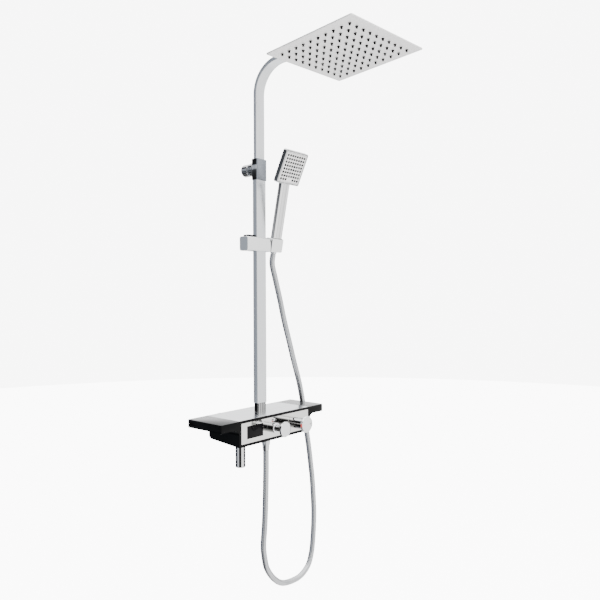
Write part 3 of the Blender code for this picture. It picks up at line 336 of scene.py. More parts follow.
# ---------------------------------------------------------------- materials
# name: base colour, second colour, roughness low and high, metallic, noise scale, stretch, bump
LOOKS = {
    # The chrome looks are one chrome with base colours set lighter or darker: painted light and shade for
    # brighter and darker reflections, beside real changes of polish
    "chrome": ((0.72, 0.73, 0.74), (0.66, 0.67, 0.69), 0.04, 0.10, 1.0, 9.0, (1, 1, 1), 0.02),
    "chrome_tube": ((0.80, 0.81, 0.83), (0.74, 0.76, 0.78), 0.24, 0.34, 1.0, 14.0,
                    (1, 1, 0.06), 0.02),
    # painted shade: a darker copy of chrome, for the sleeve's darker reflection
    "chrome_sleeve_painted_dark": ((0.27, 0.29, 0.32), (0.21, 0.23, 0.26), 0.24, 0.36, 1.0, 60.0,
                      (1, 1, 0.15), 0.03),
    "chrome_spout": ((0.80, 0.80, 0.81), (0.72, 0.73, 0.74), 0.04, 0.10, 1.0, 30.0,
                     (1, 1, 0.2), 0.02),
    "chrome_stem": ((0.95, 0.95, 0.96), (0.88, 0.89, 0.91), 0.04, 0.10, 1.0, 30.0,
                    (1, 0.2, 1), 0.02),
    "chrome_post": ((0.80, 0.81, 0.82), (0.70, 0.72, 0.74), 0.04, 0.10, 1.0, 60.0, (1, 1, 1),
                    0.02),
    "chrome_foot": ((0.50, 0.50, 0.50), (0.40, 0.40, 0.40), 0.05, 0.12, 1.0, 40.0, (1, 1, 0.3),
                    0.02),
    # painted light: a lighter copy of chrome, for brighter reflections on the slider, cradle and cap
    "chrome_painted_light": ((0.96, 0.96, 0.96), (0.91, 0.92, 0.92), 0.10, 0.20, 1.0, 12.0, (1, 1, 1),
                      0.02),
    "head_face": ((0.88, 0.865, 0.855), (0.83, 0.815, 0.805), 0.20, 0.30, 0.10, 12.0,
                  (1, 1, 1), 0.01),
    "chrome_head": ((0.90, 0.89, 0.88), (0.84, 0.83, 0.82), 0.20, 0.32, 0.35, 12.0, (1, 1, 1),
                    0.02),
    "chrome_hand": ((0.72, 0.73, 0.74), (0.50, 0.51, 0.53), 0.06, 0.14, 1.0, 60.0,
                    (1, 1, 0.07), 0.02),
    "faceplate": ((0.84, 0.83, 0.81), (0.79, 0.78, 0.76), 0.05, 0.12, 1.0, 10.0, (1, 1, 1),
                  0.01),
    "satin_silver": ((0.95, 0.96, 0.97), (0.88, 0.89, 0.91), 0.14, 0.24, 1.0, 160.0,
                     (0.04, 1, 1), 0.04),
    "gloss_black": ((0.0012, 0.0012, 0.0014), (0.0025, 0.0025, 0.0028), 0.03, 0.08, 0.0,
                    22.0, (1, 1, 1), 0.01),
    "screen": ((0.004, 0.0037, 0.0043), (0.007, 0.0065, 0.0073), 0.05, 0.10, 0.0, 18.0,
               (1, 1, 1), 0.0),
    "brass": ((0.66, 0.46, 0.19), (0.50, 0.34, 0.14), 0.22, 0.42, 1.0, 60.0, (1, 1, 1), 0.08),
    "grey_plastic": ((0.22, 0.23, 0.24), (0.28, 0.29, 0.30), 0.42, 0.60, 0.0, 220.0, (1, 1, 1),
                     0.10),
    "black_rubber": ((0.022, 0.022, 0.023), (0.040, 0.040, 0.042), 0.55, 0.80, 0.0, 300.0,
                     (1, 1, 1), 0.15),
    "nozzle_rubber": ((0.004, 0.004, 0.004), (0.009, 0.009, 0.009), 0.40, 0.60, 0.0, 300.0,
                      (1, 1, 1), 0.10),
    "spray_face": ((0.88, 0.865, 0.855), (0.84, 0.825, 0.815), 0.20, 0.32, 0.0, 120.0,
                   (1, 1, 1), 0.03),
    "spray_frame": ((0.66, 0.66, 0.66), (0.60, 0.60, 0.60), 0.20, 0.32, 0.0, 120.0, (1, 1, 1),
                    0.03),
    "red_plastic": ((0.60, 0.05, 0.05), (0.48, 0.03, 0.03), 0.25, 0.40, 0.0, 120.0, (1, 1, 1),
                    0.03),
    "steel": ((0.52, 0.53, 0.55), (0.42, 0.43, 0.45), 0.22, 0.40, 1.0, 90.0, (1, 1, 1), 0.06),
    "hose": ((0.56, 0.57, 0.58), (0.46, 0.47, 0.49), 0.14, 0.28, 1.0, 30.0, (1, 1, 0.2), 0.04),
}
# Painted reflections on one side of a piece, light and dark tones standing in for the room it mirrors: look,
# normal axis, position axis, low, high, (share, tone)
PAINTED_SIDE_REFLECTIONS = (
    # painted reflection streaks across the handset's front
    ("chrome_hand", 1, 0, HAND_X - HANDLE_W / 2, HAND_X + HANDLE_W / 2,
     ((0.0, 0.60), (0.10, 0.95), (0.24, 0.92), (0.29, 0.50), (0.36, 0.85), (0.58, 0.74),
      (0.68, 0.52), (0.76, 0.86), (0.92, 0.92), (1.0, 0.60))),
    # painted sheen on the black top and bottom faces, lighter at the front
    ("gloss_black", 2, 1, FRONT_Y, BACK_Y, ((0.0, 0.050), (1.0, 0.005))),
    # painted dark reflection on the handset's sides, darker towards the top
    ("chrome_hand", 0, 2, 0.44, 0.68, ((0.0, 0.34), (0.5, 0.26), (0.8, 0.15), (1.0, 0.12))),
    # painted reflection on the sleeve's sides: dark at top and bottom, a light band in the middle
    ("chrome_sleeve_painted_dark", 0, 2, 0.6075, 0.6605,
     ((0.0, 0.02), (0.30, 0.05), (0.46, 0.10), (0.54, 0.95), (0.66, 0.90), (0.72, 0.03),
      (1.0, 0.03))),
    # painted reflections on the collar: dark sides, light and dark streaks on the front
    ("chrome_foot", 0, 2, 0.03, 0.0475, ((0.0, 0.02), (1.0, 0.015))),
    ("chrome_foot", 1, 0, 0.0040, 0.0350,
     ((0.0, 0.02), (0.10, 0.03), (0.20, 0.55), (0.34, 0.16), (0.48, 0.50), (0.60, 0.08),
      (0.72, 0.40), (0.88, 0.12), (1.0, 0.30))),
)
# Painted reflection streaks round a turned piece, light and dark bands standing in for the room it mirrors:
# look, its axis, (bearing round the axis in degrees, tone)
PAINTED_REFLECTION_STREAKS = (
    ("chrome_spout", 2, ((-180, 0.10), (-172, 0.80), (-150, 0.85), (-145, 0.05), (-120, 0.04),
                         (-114, 0.90), (-96, 0.95), (-88, 0.08), (-30, 0.04), (-10, 0.7),
                         (50, 0.3), (80, 0.06), (176, 0.08))),
    ("chrome_stem", 1, ((-180, 0.30), (-150, 0.10), (-128, 0.30), (-116, 0.07), (-94, 0.09),
                        (-84, 0.42), (-72, 0.07), (-58, 0.20), (-46, 0.75), (-24, 0.30),
                        (-10, 0.85), (8, 0.6), (30, 0.95), (90, 0.3), (150, 0.8))),
    ("chrome_post", 1, ((-180, 0.4), (-145, 0.03), (-120, 0.80), (-108, 0.04), (-94, 0.60),
                        (-80, 0.95), (-66, 0.04), (-44, 0.85), (-22, 0.05), (-6, 0.9),
                        (30, 0.4), (90, 0.1), (150, 0.8))),
)
GLOSS_IOR = {"gloss_black": 1.17, "screen": 1.15, "nozzle_rubber": 1.20}
# Nodes kept from the frame, with the look each one takes
CAD_LOOKS = {
    "brass": ("valve_body", "thermostatic_cartridge"),
    "grey_plastic": ("display_module", "hydro_generator", "diverter_cartridge",
                     "check_valve_left", "check_valve_right", "ball_seat"),
    "black_rubber": ("riser_piston", "slider_pad", "ball_seal"),
    "steel": ("pivot_pin", "wall_screw"),
}
MADE = {}


def painted_side_reflection(tree, coord, colour, facing, along, low_at, high_at, tones):
    """Mix in a painted reflection tone that runs along the faces that look one way in the piece's own frame.
    """
    size = node(tree, "ShaderNodeMath", operation="ABSOLUTE")
    tree.links.new(axes_of(tree, coord.outputs["Normal"])[facing], size.inputs[0])
    mask = share_of(tree, size.outputs[0], 0.70, 0.92)
    place_at = axes_of(tree, coord.outputs["Object"])[along]
    return mix(tree, mask, colour, ramp(tree, tones, share_of(tree, place_at, low_at, high_at)))


def painted_streak_reflection(tree, coord, colour, axis, tones):
    """Long painted reflection streaks, light and dark, round a turned piece, left off its flat ends."""
    normal = axes_of(tree, coord.outputs["Normal"])
    across, up = [normal[i] for i in range(3) if i != axis]
    ends = node(tree, "ShaderNodeMath", operation="ABSOLUTE")
    tree.links.new(normal[axis], ends.inputs[0])
    mask = share_of(tree, ends.outputs[0], 0.35, 0.75, (1.0, 0.0))
    return mix(tree, mask, colour, bearing_ramp(tree, tones, bearing(tree, across, up)))


def surface(name):
    """A procedural material: drifting colour, uneven polish and a very fine bump, with painted reflections
    for the looks named in the two tables above.
    """
    if name in MADE:
        return MADE[name]
    base, second, low, high, metal, scale, stretch, bump = LOOKS[name]
    mat = bpy.data.materials.new(name)
    mat.use_nodes = True
    tree = mat.node_tree
    link = tree.links.new
    shader = tree.nodes["Principled BSDF"]
    shader.inputs["Metallic"].default_value = metal
    coord = node(tree, "ShaderNodeTexCoord")
    place_at = node(tree, "ShaderNodeMapping", i_Scale=stretch)
    link(coord.outputs["Object"], place_at.inputs[0])
    broad = node(tree, "ShaderNodeTexNoise", i_Scale=scale, i_Detail=3.0)
    fine = node(tree, "ShaderNodeTexNoise", i_Scale=scale * 9, i_Detail=2.0)
    for noise in (broad, fine):
        link(place_at.outputs[0], noise.inputs["Vector"])
    colour = ramp(tree, ((0.35, base), (0.68, second)), broad.outputs[0])
    # painted reflections: tones on chosen sides, then streaks round turned pieces
    for look, facing, along, low_at, high_at, tones in PAINTED_SIDE_REFLECTIONS:
        if look == name:
            colour = painted_side_reflection(tree, coord, colour, facing, along, low_at, high_at, tones)
    for look, axis, tones in PAINTED_REFLECTION_STREAKS:
        if look == name:
            colour = painted_streak_reflection(tree, coord, colour, axis, tones)
    link(colour, shader.inputs["Base Color"])
    shader.inputs["IOR"].default_value = GLOSS_IOR.get(name, 1.5)
    link(share_of(tree, fine.outputs[0], 0.3, 0.7, (low, high)), shader.inputs["Roughness"])
    if bump:
        lift = node(tree, "ShaderNodeBump", i_Strength=bump, i_Distance=0.0002)
        link(fine.outputs[0], lift.inputs["Height"])
        link(lift.outputs[0], shader.inputs["Normal"])
    MADE[name] = mat
    return mat


# ---------------------------------------------------------------- shape helpers
def link(obj, group):
    for holder in list(obj.users_collection):
        holder.objects.unlink(obj)
    group.objects.link(obj)
    return obj


def from_bmesh(name, bm):
    mesh = bpy.data.meshes.new(name)
    bm.to_mesh(mesh)
    bm.free()
    obj = bpy.data.objects.new(name, mesh)
    return link(obj, WORK)


def box(x0, x1, y0, y1, z0, z1):
    """An axis-aligned box between two corners."""
    bm = bmesh.new()
    bmesh.ops.create_cube(bm, size=1.0)
    size = Matrix.Diagonal((x1 - x0, y1 - y0, z1 - z0, 1.0))
    centre = Matrix.Translation(((x0 + x1) / 2, (y0 + y1) / 2, (z0 + z1) / 2))
    bmesh.ops.transform(bm, matrix=centre @ size, verts=bm.verts)
    return from_bmesh("box", bm)


def cylinder(radius, start, end, segments=48):
    """A cylinder between two points on its axis."""
    start, end = Vector(start), Vector(end)
    axis = end - start
    bm = bmesh.new()
    bmesh.ops.create_cone(bm, cap_ends=True, segments=segments, radius1=radius,
                          radius2=radius, depth=axis.length)
    turn = axis.to_track_quat("Z", "Y").to_matrix().to_4x4()
    bmesh.ops.transform(bm, matrix=Matrix.Translation((start + end) / 2) @ turn,
                        verts=bm.verts)
    return from_bmesh("cylinder", bm)


def to_mesh(obj):
    """Replace a curve, or an object with modifiers, by its evaluated mesh, welded."""
    bpy.context.view_layer.update()
    graph = bpy.context.evaluated_depsgraph_get()
    mesh = bpy.data.meshes.new_from_object(obj.evaluated_get(graph))
    bm = bmesh.new()
    bm.from_mesh(mesh)
    bmesh.ops.remove_doubles(bm, verts=bm.verts, dist=0.000002)
    bmesh.ops.recalc_face_normals(bm, faces=bm.faces)
    bm.to_mesh(mesh)
    bm.free()
    name, place = obj.name, obj.matrix_world.copy()
    bpy.data.objects.remove(obj, do_unlink=True)
    new = bpy.data.objects.new(name, mesh)
    new.matrix_world = place
    return link(new, WORK)


# Planes an outline is drawn in: local x, y and extrusion axis
PLANES = {
    "XY": Matrix(((1, 0, 0), (0, 1, 0), (0, 0, 1))),
    "XZ": Matrix(((1, 0, 0), (0, 0, -1), (0, 1, 0))),
    "YZ": Matrix(((0, 0, 1), (1, 0, 0), (0, 1, 0))),
}


def outline(points, plane, low, high):
    """A closed flat outline extruded between two levels across its plane."""
    curve = bpy.data.curves.new("outline", "CURVE")
    curve.dimensions = "2D"
    curve.fill_mode = "BOTH"
    curve.extrude = (high - low) / 2
    spline = curve.splines.new("POLY")
    spline.points.add(len(points) - 1)
    for point, (u, v) in zip(spline.points, points):
        point.co = (u, v, 0.0, 1.0)
    spline.use_cyclic_u = True
    obj = link(bpy.data.objects.new("outline", curve), WORK)
    turn = PLANES[plane]
    middle = turn @ Vector((0, 0, 1)) * ((low + high) / 2)
    if plane == "XZ":
        middle = Vector((0, (low + high) / 2, 0))
    obj.matrix_world = Matrix.Translation(middle) @ turn.to_4x4()
    return bake(to_mesh(obj))


def bake(obj):
    """Put an object's placement into its mesh."""
    obj.data.transform(obj.matrix_world)
    obj.matrix_world = Matrix.Identity(4)
    return obj


def arc(cu, cv, radius, start, end, steps):
    """Points along an arc, angles in degrees."""
    turn = [math.radians(start + (end - start) * i / steps) for i in range(steps + 1)]
    return [(cu + radius * math.cos(a), cv + radius * math.sin(a)) for a in turn]


def round_rect(u0, u1, v0, v1, radius, steps=3):
    """Corner-rounded rectangle, counter-clockwise."""
    corners = [(u1 - radius, v0 + radius, -90), (u1 - radius, v1 - radius, 0),
               (u0 + radius, v1 - radius, 90), (u0 + radius, v0 + radius, 180)]
    return [p for u, v, a in corners for p in arc(u, v, radius, a, a + 90, steps)]


def slab(half_u, half_v, radius, plane, low, high, steps=3):
    """A plate with rounded corners, centred on its plane's origin."""
    return outline(round_rect(-half_u, half_u, -half_v, half_v, radius, steps), plane, low, high)


def bevel(obj, width, segments=2, angle=40):
    """Round an object's sharp edges and bake the result; flat faces are made whole first."""
    bm = bmesh.new()
    bm.from_mesh(obj.data)
    bmesh.ops.dissolve_limit(bm, angle_limit=math.radians(0.5), verts=bm.verts,
                             edges=bm.edges)
    bm.to_mesh(obj.data)
    bm.free()
    mod = obj.modifiers.new("round", "BEVEL")
    mod.width, mod.segments = width, segments
    mod.limit_method, mod.angle_limit = "ANGLE", math.radians(angle)
    return to_mesh(obj)


def combine(target, others, operation):
    """Exact Boolean of one object with others, which are used up."""
    for other in others:
        other.hide_render, other.display_type = True, "WIRE"
        mod = target.modifiers.new("boolean", "BOOLEAN")
        mod.operation, mod.object, mod.solver = operation, other, "EXACT"
    result = to_mesh(target)
    for other in others:
        bpy.data.objects.remove(other, do_unlink=True)
    return result


def cut(target, *others):
    return combine(target, others, "DIFFERENCE")


def join(target, *others):
    return combine(target, others, "UNION")


def lathe(profile, start, axis, steps=72):
    """Turn a (radius, distance) profile about an axis; it is closed or ends on the axis."""
    mesh = bpy.data.meshes.new("lathe")
    points = [(r, 0.0, d) for r, d in profile]
    mesh.from_pydata(points, [(i, i + 1) for i in range(len(points) - 1)], [])
    obj = link(bpy.data.objects.new("lathe", mesh), WORK)
    mod = obj.modifiers.new("turn", "SCREW")
    mod.steps = mod.render_steps = steps
    mod.use_merge_vertices, mod.merge_threshold = True, 0.00005
    obj.matrix_world = (Matrix.Translation(start)
                        @ Vector(axis).to_track_quat("Z", "Y").to_matrix().to_4x4())
    return bake(to_mesh(obj))


def ring(r_in, r_out, start, axis, length, steps=64, chamfer=0.0004):
    """A tube with lightly chamfered outer edges."""
    c = chamfer
    profile = [(r_in, length), (r_out - c, length), (r_out, length - c), (r_out, c),
               (r_out - c, 0.0), (r_in, 0.0), (r_in, length)]
    return lathe(profile, start, axis, steps)


def place(obj, matrix):
    """Move a piece built in its own frame into the object's frame."""
    obj.data.transform(matrix)
    return obj


EDGE, EDGE_ANGLE = 0.00025, 34


def show(obj, cad, look, edge=EDGE, part=""):
    """Finish a piece: soft edges, smooth shading, its material, its body and its node."""
    obj.name = obj.data.name = "v_" + cad + ("_" + part if part else "")
    obj.data.materials.clear()
    obj.data.materials.append(surface(look))
    if edge:
        mod = obj.modifiers.new("edge", "BEVEL")
        mod.width, mod.segments = edge, 2
        mod.limit_method, mod.angle_limit = "ANGLE", math.radians(EDGE_ANGLE)
        mod.harden_normals = True
    obj.data.shade_smooth()
    obj.data.set_sharp_from_angle(angle=math.radians(EDGE_ANGLE))
    link(obj, PIECES)
    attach(obj, BODY_OF[cad])
    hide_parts(cad)
    return obj


# ---------------------------------------------------------------- mixer and shelf
def mixer_housing():
    wings = outline(round_rect(-WING_X, WING_X, FRONT_Y, BACK_Y, 0.0035), "XY",
                    WING_BOTTOM, WING_TOP)
    wings = bevel(wings, 0.0012, 2)
    right = arc(BODY_X + FILLET, WING_BOTTOM - FILLET + 0.0004, FILLET, 180, 90, 6)
    left = [(-u, v) for u, v in reversed(right)]
    stem = outline([(-BODY_X, BODY_BOTTOM), (BODY_X, BODY_BOTTOM)] + right
                   + [(right[-1][0], WING_BOTTOM + 0.004), (left[0][0], WING_BOTTOM + 0.004)]
                   + left, "XZ", FRONT_Y, BODY_BACK_Y)
    r = 0.010
    foot = arc(BODY_BACK_Y - r, BODY_BACK_BOTTOM + r, r, 0, -87, 5)
    relief = outline([(FRONT_Y - 0.01, BODY_BOTTOM - 0.01), (0.0, BODY_BOTTOM - 0.01),
                      (0.0, foot[0][1])] + foot + [(FRONT_Y, BODY_BOTTOM),
                      (FRONT_Y - 0.01, BODY_BOTTOM)], "YZ", -0.2, 0.2)
    inner_front = FRONT_Y + FACE_T + WALL
    floor = [(inner_front, BODY_BOTTOM + WALL), (-0.034, BODY_BACK_BOTTOM + WALL - 0.001),
             (0.002, BODY_BACK_BOTTOM + WALL + 0.008)]
    hollow = outline(floor + [(0.002, 0.0220), (inner_front, 0.0220)], "YZ",
                     -BODY_X + WALL, BODY_X - WALL)
    wing_hollow = box(-WING_X + 0.006, WING_X - 0.006, inner_front + 0.0007, 0.003,
                      WING_BOTTOM + WALL, 0.0255)
    top = box(-TOP_PLATE_X - GAP, TOP_PLATE_X + GAP, FRONT_Y + TOP_SET_BACK, 0.002,
              WING_TOP - TOP_PLATE_T - GAP, WING_TOP + 0.001)
    face = box(-FACE_X - GAP, FACE_X + GAP, FRONT_Y - 0.001, FRONT_Y + FACE_T + GAP,
               FACE_Z0 - GAP, FACE_Z1 + GAP)
    front = (FRONT_Y - 0.002, FRONT_Y + 0.010)
    x0, x1, z0, z1 = DISPLAY
    holes = [
        box(x0 + 0.0015, x1 - 0.0015, *front, z0 + 0.0015, z1 - 0.0015),
        *[cylinder(r, (x, front[0], z), (x, front[1], z)) for x, z, r in KNOB_HOLES],
        cylinder(0.0118, (SPOUT_X, SPOUT_Y, -0.04), (SPOUT_X, SPOUT_Y, -0.015)),
        cylinder(0.0100, (OUTLET_X, OUTLET_Y, -0.04), (OUTLET_X, OUTLET_Y, -0.015)),
        rounded_bar(COLLAR_W + 2 * GAP, COLLAR_D + 2 * GAP, 0.020, 0.035, 0.0015, 2),
    ]
    body = join(wings, stem)
    body = cut(body, relief, hollow)
    body = cut(body, wing_hollow, top, face)
    body = cut(body, *holes)
    return show(body, "mixer_housing", "gloss_black")


def shelf_top_plate():
    z0 = WING_TOP - TOP_PLATE_T
    plate = box(-TOP_PLATE_X, TOP_PLATE_X, FRONT_Y + TOP_SET_BACK + GAP, BACK_Y, z0, WING_TOP)
    hole = rounded_bar(COLLAR_W + 2 * GAP, COLLAR_D + 2 * GAP, z0 - 0.01, WING_TOP + 0.01,
                       0.0015, 2)
    return show(cut(plate, hole), "shelf_top_plate", "satin_silver")


def faceplate():
    plate = outline(round_rect(-FACE_X, FACE_X, FACE_Z0, FACE_Z1, 0.0012, 2), "XZ",
                    FRONT_Y - 0.0002, FRONT_Y + FACE_T)
    front = (FRONT_Y - 0.002, FRONT_Y + 0.01)
    x0, x1, z0, z1 = DISPLAY
    holes = [box(x0, x1, *front, z0, z1)]
    for x, z, r in (*KNOB_HOLES, (STUD_X, STUD_Z, 0.0021)):
        holes.append(cylinder(r, (x, front[0], z), (x, front[1], z)))
    return show(cut(plate, *holes), "faceplate", "faceplate")


def display():
    x0, x1, z0, z1 = DISPLAY
    g = GAP
    window = box(x0 + g, x1 - g, FRONT_Y + 0.0004, FRONT_Y + FACE_T, z0 + g, z1 - g)
    show(bevel(window, 0.0002, 1), "display_window", "screen")


def inlets():
    """The two wall connections with union, nut and rosette."""
    for side, sign in (("left", -1), ("right", 1)):
        x = sign * INLET_X
        union = ring(0.0075, 0.0105, (x, 0, 0), OUT, 0.0396, 20)
        show(union, "inlet_union_" + side, "brass")
        nut = cylinder(0.0150, (x, -0.0235, 0), (x, -0.0372, 0), 6)
        nut = cut(bevel(nut, 0.0006, 1), cylinder(0.0108, (x, 0, 0), (x, -0.05, 0)))
        show(nut, "inlet_nut_" + side, "chrome")
        c = [(0.0108, 0.0068), (0.0150, 0.0085), (0.0200, 0.0080), (0.0270, 0.0045),
             (0.0290, 0.0012), (0.0290, 0.0), (0.0108, 0.0), (0.0108, 0.0068)]
        rosette = lathe(c, (x, 0, 0), OUT)
        show(rosette, "wall_rosette_" + side, "chrome")


def index_stud():
    profile = [(0, 0.0042), (0.0022, 0.0039), (0.0035, 0.0025), (0.0035, 0.0005),
               (0.0018, 0.0005), (0.0018, -0.0018), (0, -0.0018)]
    stud = lathe(profile, (STUD_X, FRONT_Y, STUD_Z), OUT)
    show(stud, "index_stud", "chrome")


def knob_stem(profile, x):
    """A knob's stem, turned about its shaft and bored for it."""
    bore = cylinder(0.0043, (x, FRONT_Y + 0.01, KNOB_Z), (x, FRONT_Y - 0.030, KNOB_Z))
    return cut(lathe(profile, (x, FRONT_Y, KNOB_Z), OUT), bore)


def knobs():
    x, y, z = TEMPERATURE_X, FRONT_Y, KNOB_Z
    sleeve = [(0.0080, 0.0205), (0.0108, 0.0205), (0.0120, 0.0195), (0.0120, 0.0005),
              (0.0115, 0.0), (0.0115, -0.0030), (0.0080, -0.0030), (0.0080, 0.0205)]
    show(lathe(sleeve, (DIVERTER_X, y, z), OUT), "diverter_sleeve", "chrome_stem")
    knob = [(0, 0.0500), (0.0150, 0.0500), (0.0172, 0.0492), (0.0180, 0.0476),
            (0.0180, 0.0450), (0.0170, 0.0436), (0.0080, 0.0428), (0.0076, 0.0420),
            (0.0076, 0.0220), (0.0070, 0.0214), (0.0070, 0.0140), (0, 0.0140)]
    show(knob_stem(knob, DIVERTER_X), "diverter_knob", "chrome_stem")
    knob = [(0, 0.0440), (0.0130, 0.0440), (0.0135, 0.0435), (0.0135, 0.0010),
            (0.0130, 0.0005), (0, 0.0005)]
    show(knob_stem(knob, x), "temperature_knob", "chrome_stem")

    cap = [(0, 0.0515), (0.0165, 0.0515), (0.0190, 0.0506), (0.0200, 0.0490),
           (0.0200, 0.0462), (0.0190, 0.0446), (0, 0.0443)]
    cap = lathe(cap, (x, y, z), OUT)
    slot = box(x - 0.0215, x - 0.0145, y - 0.0500, y - 0.0458, z - 0.0042, z + 0.0042)
    mark = box(x + 0.0085, x + 0.0150, y - 0.0530, y - 0.0511, z - 0.0009, z + 0.0009)
    line = box(x + 0.0086, x + 0.0149, y - 0.05145, y - 0.0509, z - 0.0008, z + 0.0008)
    show(line, "temperature_cap", "gloss_black", part="mark", edge=0)
    show(cut(cap, join(slot, mark)), "temperature_cap", "chrome_painted_light")
    half = 0.0042 - GAP
    button = box(x - 0.0209, x - 0.0168, y - 0.0500 + GAP, y - 0.0458 - GAP, z - half, z + half)
    show(bevel(button, 0.0005, 1), "safety_button", "red_plastic")


def spout():
    at = (SPOUT_X, SPOUT_Y, 0)
    base = [(0.0060, -0.0244), (0.0100, -0.0244), (0.0100, -0.0340), (0.0092, -0.0345),
            (0.0060, -0.0345), (0.0060, -0.0244)]
    show(lathe(base, at, UP), "spout_base", "chrome_spout")
    seal = [(0.0060, -0.0348), (0.0104, -0.0348), (0.0104, -0.0366), (0.0060, -0.0366),
            (0.0060, -0.0348)]
    show(lathe(seal, at, UP), "spout_ring", "black_rubber")
    low = SPOUT_BOTTOM
    tube = [(0.0060, -0.0369), (0.0110, -0.0369), (0.01175, -0.0378), (0.01175, low + 0.0012),
            (0.0108, low), (0.0098, low), (0.0098, low + 0.012), (0.0060, low + 0.012),
            (0.0060, -0.0369)]
    show(lathe(tube, at, UP), "spout_tube", "chrome_spout")
    jet = [(0, low + 0.0115), (0.0095, low + 0.0115), (0.0095, low + 0.0008),
           (0.0088, low + 0.0003), (0.0070, low + 0.0020), (0, low + 0.0020)]
    show(lathe(jet, at, UP), "spout_aerator", "grey_plastic")


def hose_outlet():
    at = (OUTLET_X, OUTLET_Y, 0)
    pipe = [(0.0050, -0.0238), (0.0092, -0.0238), (0.0092, -0.0310), (0.0105, -0.0312),
            (0.0105, -0.0340), (0.0080, -0.0345), (0.0080, -0.0535), (0.0050, -0.0535),
            (0.0050, -0.0238)]
    show(lathe(pipe, at, UP), "hose_outlet", "chrome")
    nut = [(0, -0.0540), (0.0083, -0.0540), (0.0083, -0.0400), (0.0098, -0.0400),
           (0.0105, -0.0408), (0.0105, -0.0520), (0.0088, -0.0600), (0.0082, -0.0690),
           (0.0078, -0.0710), (0, -0.0710)]
    show(lathe(nut, at, UP), "hose_nut_outlet", "chrome")


# ---------------------------------------------------------------- column
def rounded_bar(width, depth, low, high, radius, steps=5):
    return outline(round_rect(COL_X - width / 2, COL_X + width / 2, COL_Y - depth / 2,
                              COL_Y + depth / 2, radius, steps), "XY", low, high)


def column_foot():
    foot = rounded_bar(COLLAR_W, COLLAR_D, 0.0240, COLLAR_TOP, 0.0015)
    spigot = rounded_bar(TUBE_W - 2 * TUBE_WALL - 0.0006, TUBE_D - 2 * TUBE_WALL - 0.0006,
                         COLLAR_TOP - 0.001, 0.085, 0.0008)
    bore = cylinder(0.0045, (COL_X, COL_Y, 0.01), (COL_X, COL_Y, 0.10))
    x, z = 0.0292, 0.0410
    front = COL_Y - COLLAR_D / 2
    seat = cylinder(0.0019, (x, front - 0.001, z), (x, front + 0.0036, z))
    foot = cut(join(foot, spigot), bore, seat)
    show(foot, "column_collar", "chrome_foot")
    screw = cylinder(0.0016, (x, front + 0.0003, z), (x, front + 0.0033, z))
    socket = cylinder(0.0008, (x, front - 0.001, z), (x, front + 0.0018, z), 6)
    show(cut(screw, socket), "collar_screw", "steel")


def lower_tube():
    tube = rounded_bar(TUBE_W, TUBE_D, COLLAR_TOP + GAP, TUBE_TOP, 0.0018, 6)
    bore = rounded_bar(TUBE_W - 2 * TUBE_WALL, TUBE_D - 2 * TUBE_WALL, 0.0, TUBE_TOP + 0.01,
                       0.0008, 2)
    show(cut(tube, bore), "lower_tube", "chrome_tube")


def arm_profile(half, start, end, steps):
    """Side view of the riser and arm, as a strip of one thickness round the bend."""
    middle = BEND_INNER + RISER_D / 2
    cy = COL_Y - middle
    outer = arc(cy, BEND_Z, middle + half, 0, 90, steps)
    inner = arc(cy, BEND_Z, middle - half, 90, 0, steps)
    return ([(COL_Y + half, start)] + outer + [(end, BEND_Z + middle + half),
            (end, BEND_Z + middle - half)] + inner + [(COL_Y - half, start)])


def riser_arm():
    w = RISER_W / 2
    arm = outline(arm_profile(RISER_D / 2, RISER_BOTTOM, ARM_END_Y, 48), "YZ",
                  COL_X - w, COL_X + w)
    arm = bevel(arm, 0.0014, 4, 50)
    t = RISER_WALL
    bore = outline(arm_profile(RISER_D / 2 - t, RISER_BOTTOM - 0.02, ARM_END_Y + 0.002, 48),
                   "YZ", COL_X - w + t, COL_X + w - t)
    x, y = HEAD_CENTRE.x, HEAD_CENTRE.y
    outlet = cylinder(0.0050, (x, y, ARM_BOTTOM - 0.002), (x, y, ARM_BOTTOM + 0.004))
    arm = cut(arm, bore)
    show(cut(arm, outlet), "riser_arm", "chrome_tube")

    guide = rounded_bar(TUBE_W, TUBE_D, TUBE_TOP + GAP, SLEEVE_Z1 - 0.0003, 0.0018)
    hole = rounded_bar(RISER_W + 0.0007, RISER_D + 0.0007, 0.60, 0.70, 0.0016)
    show(cut(guide, hole), "guide_ring", "grey_plastic")


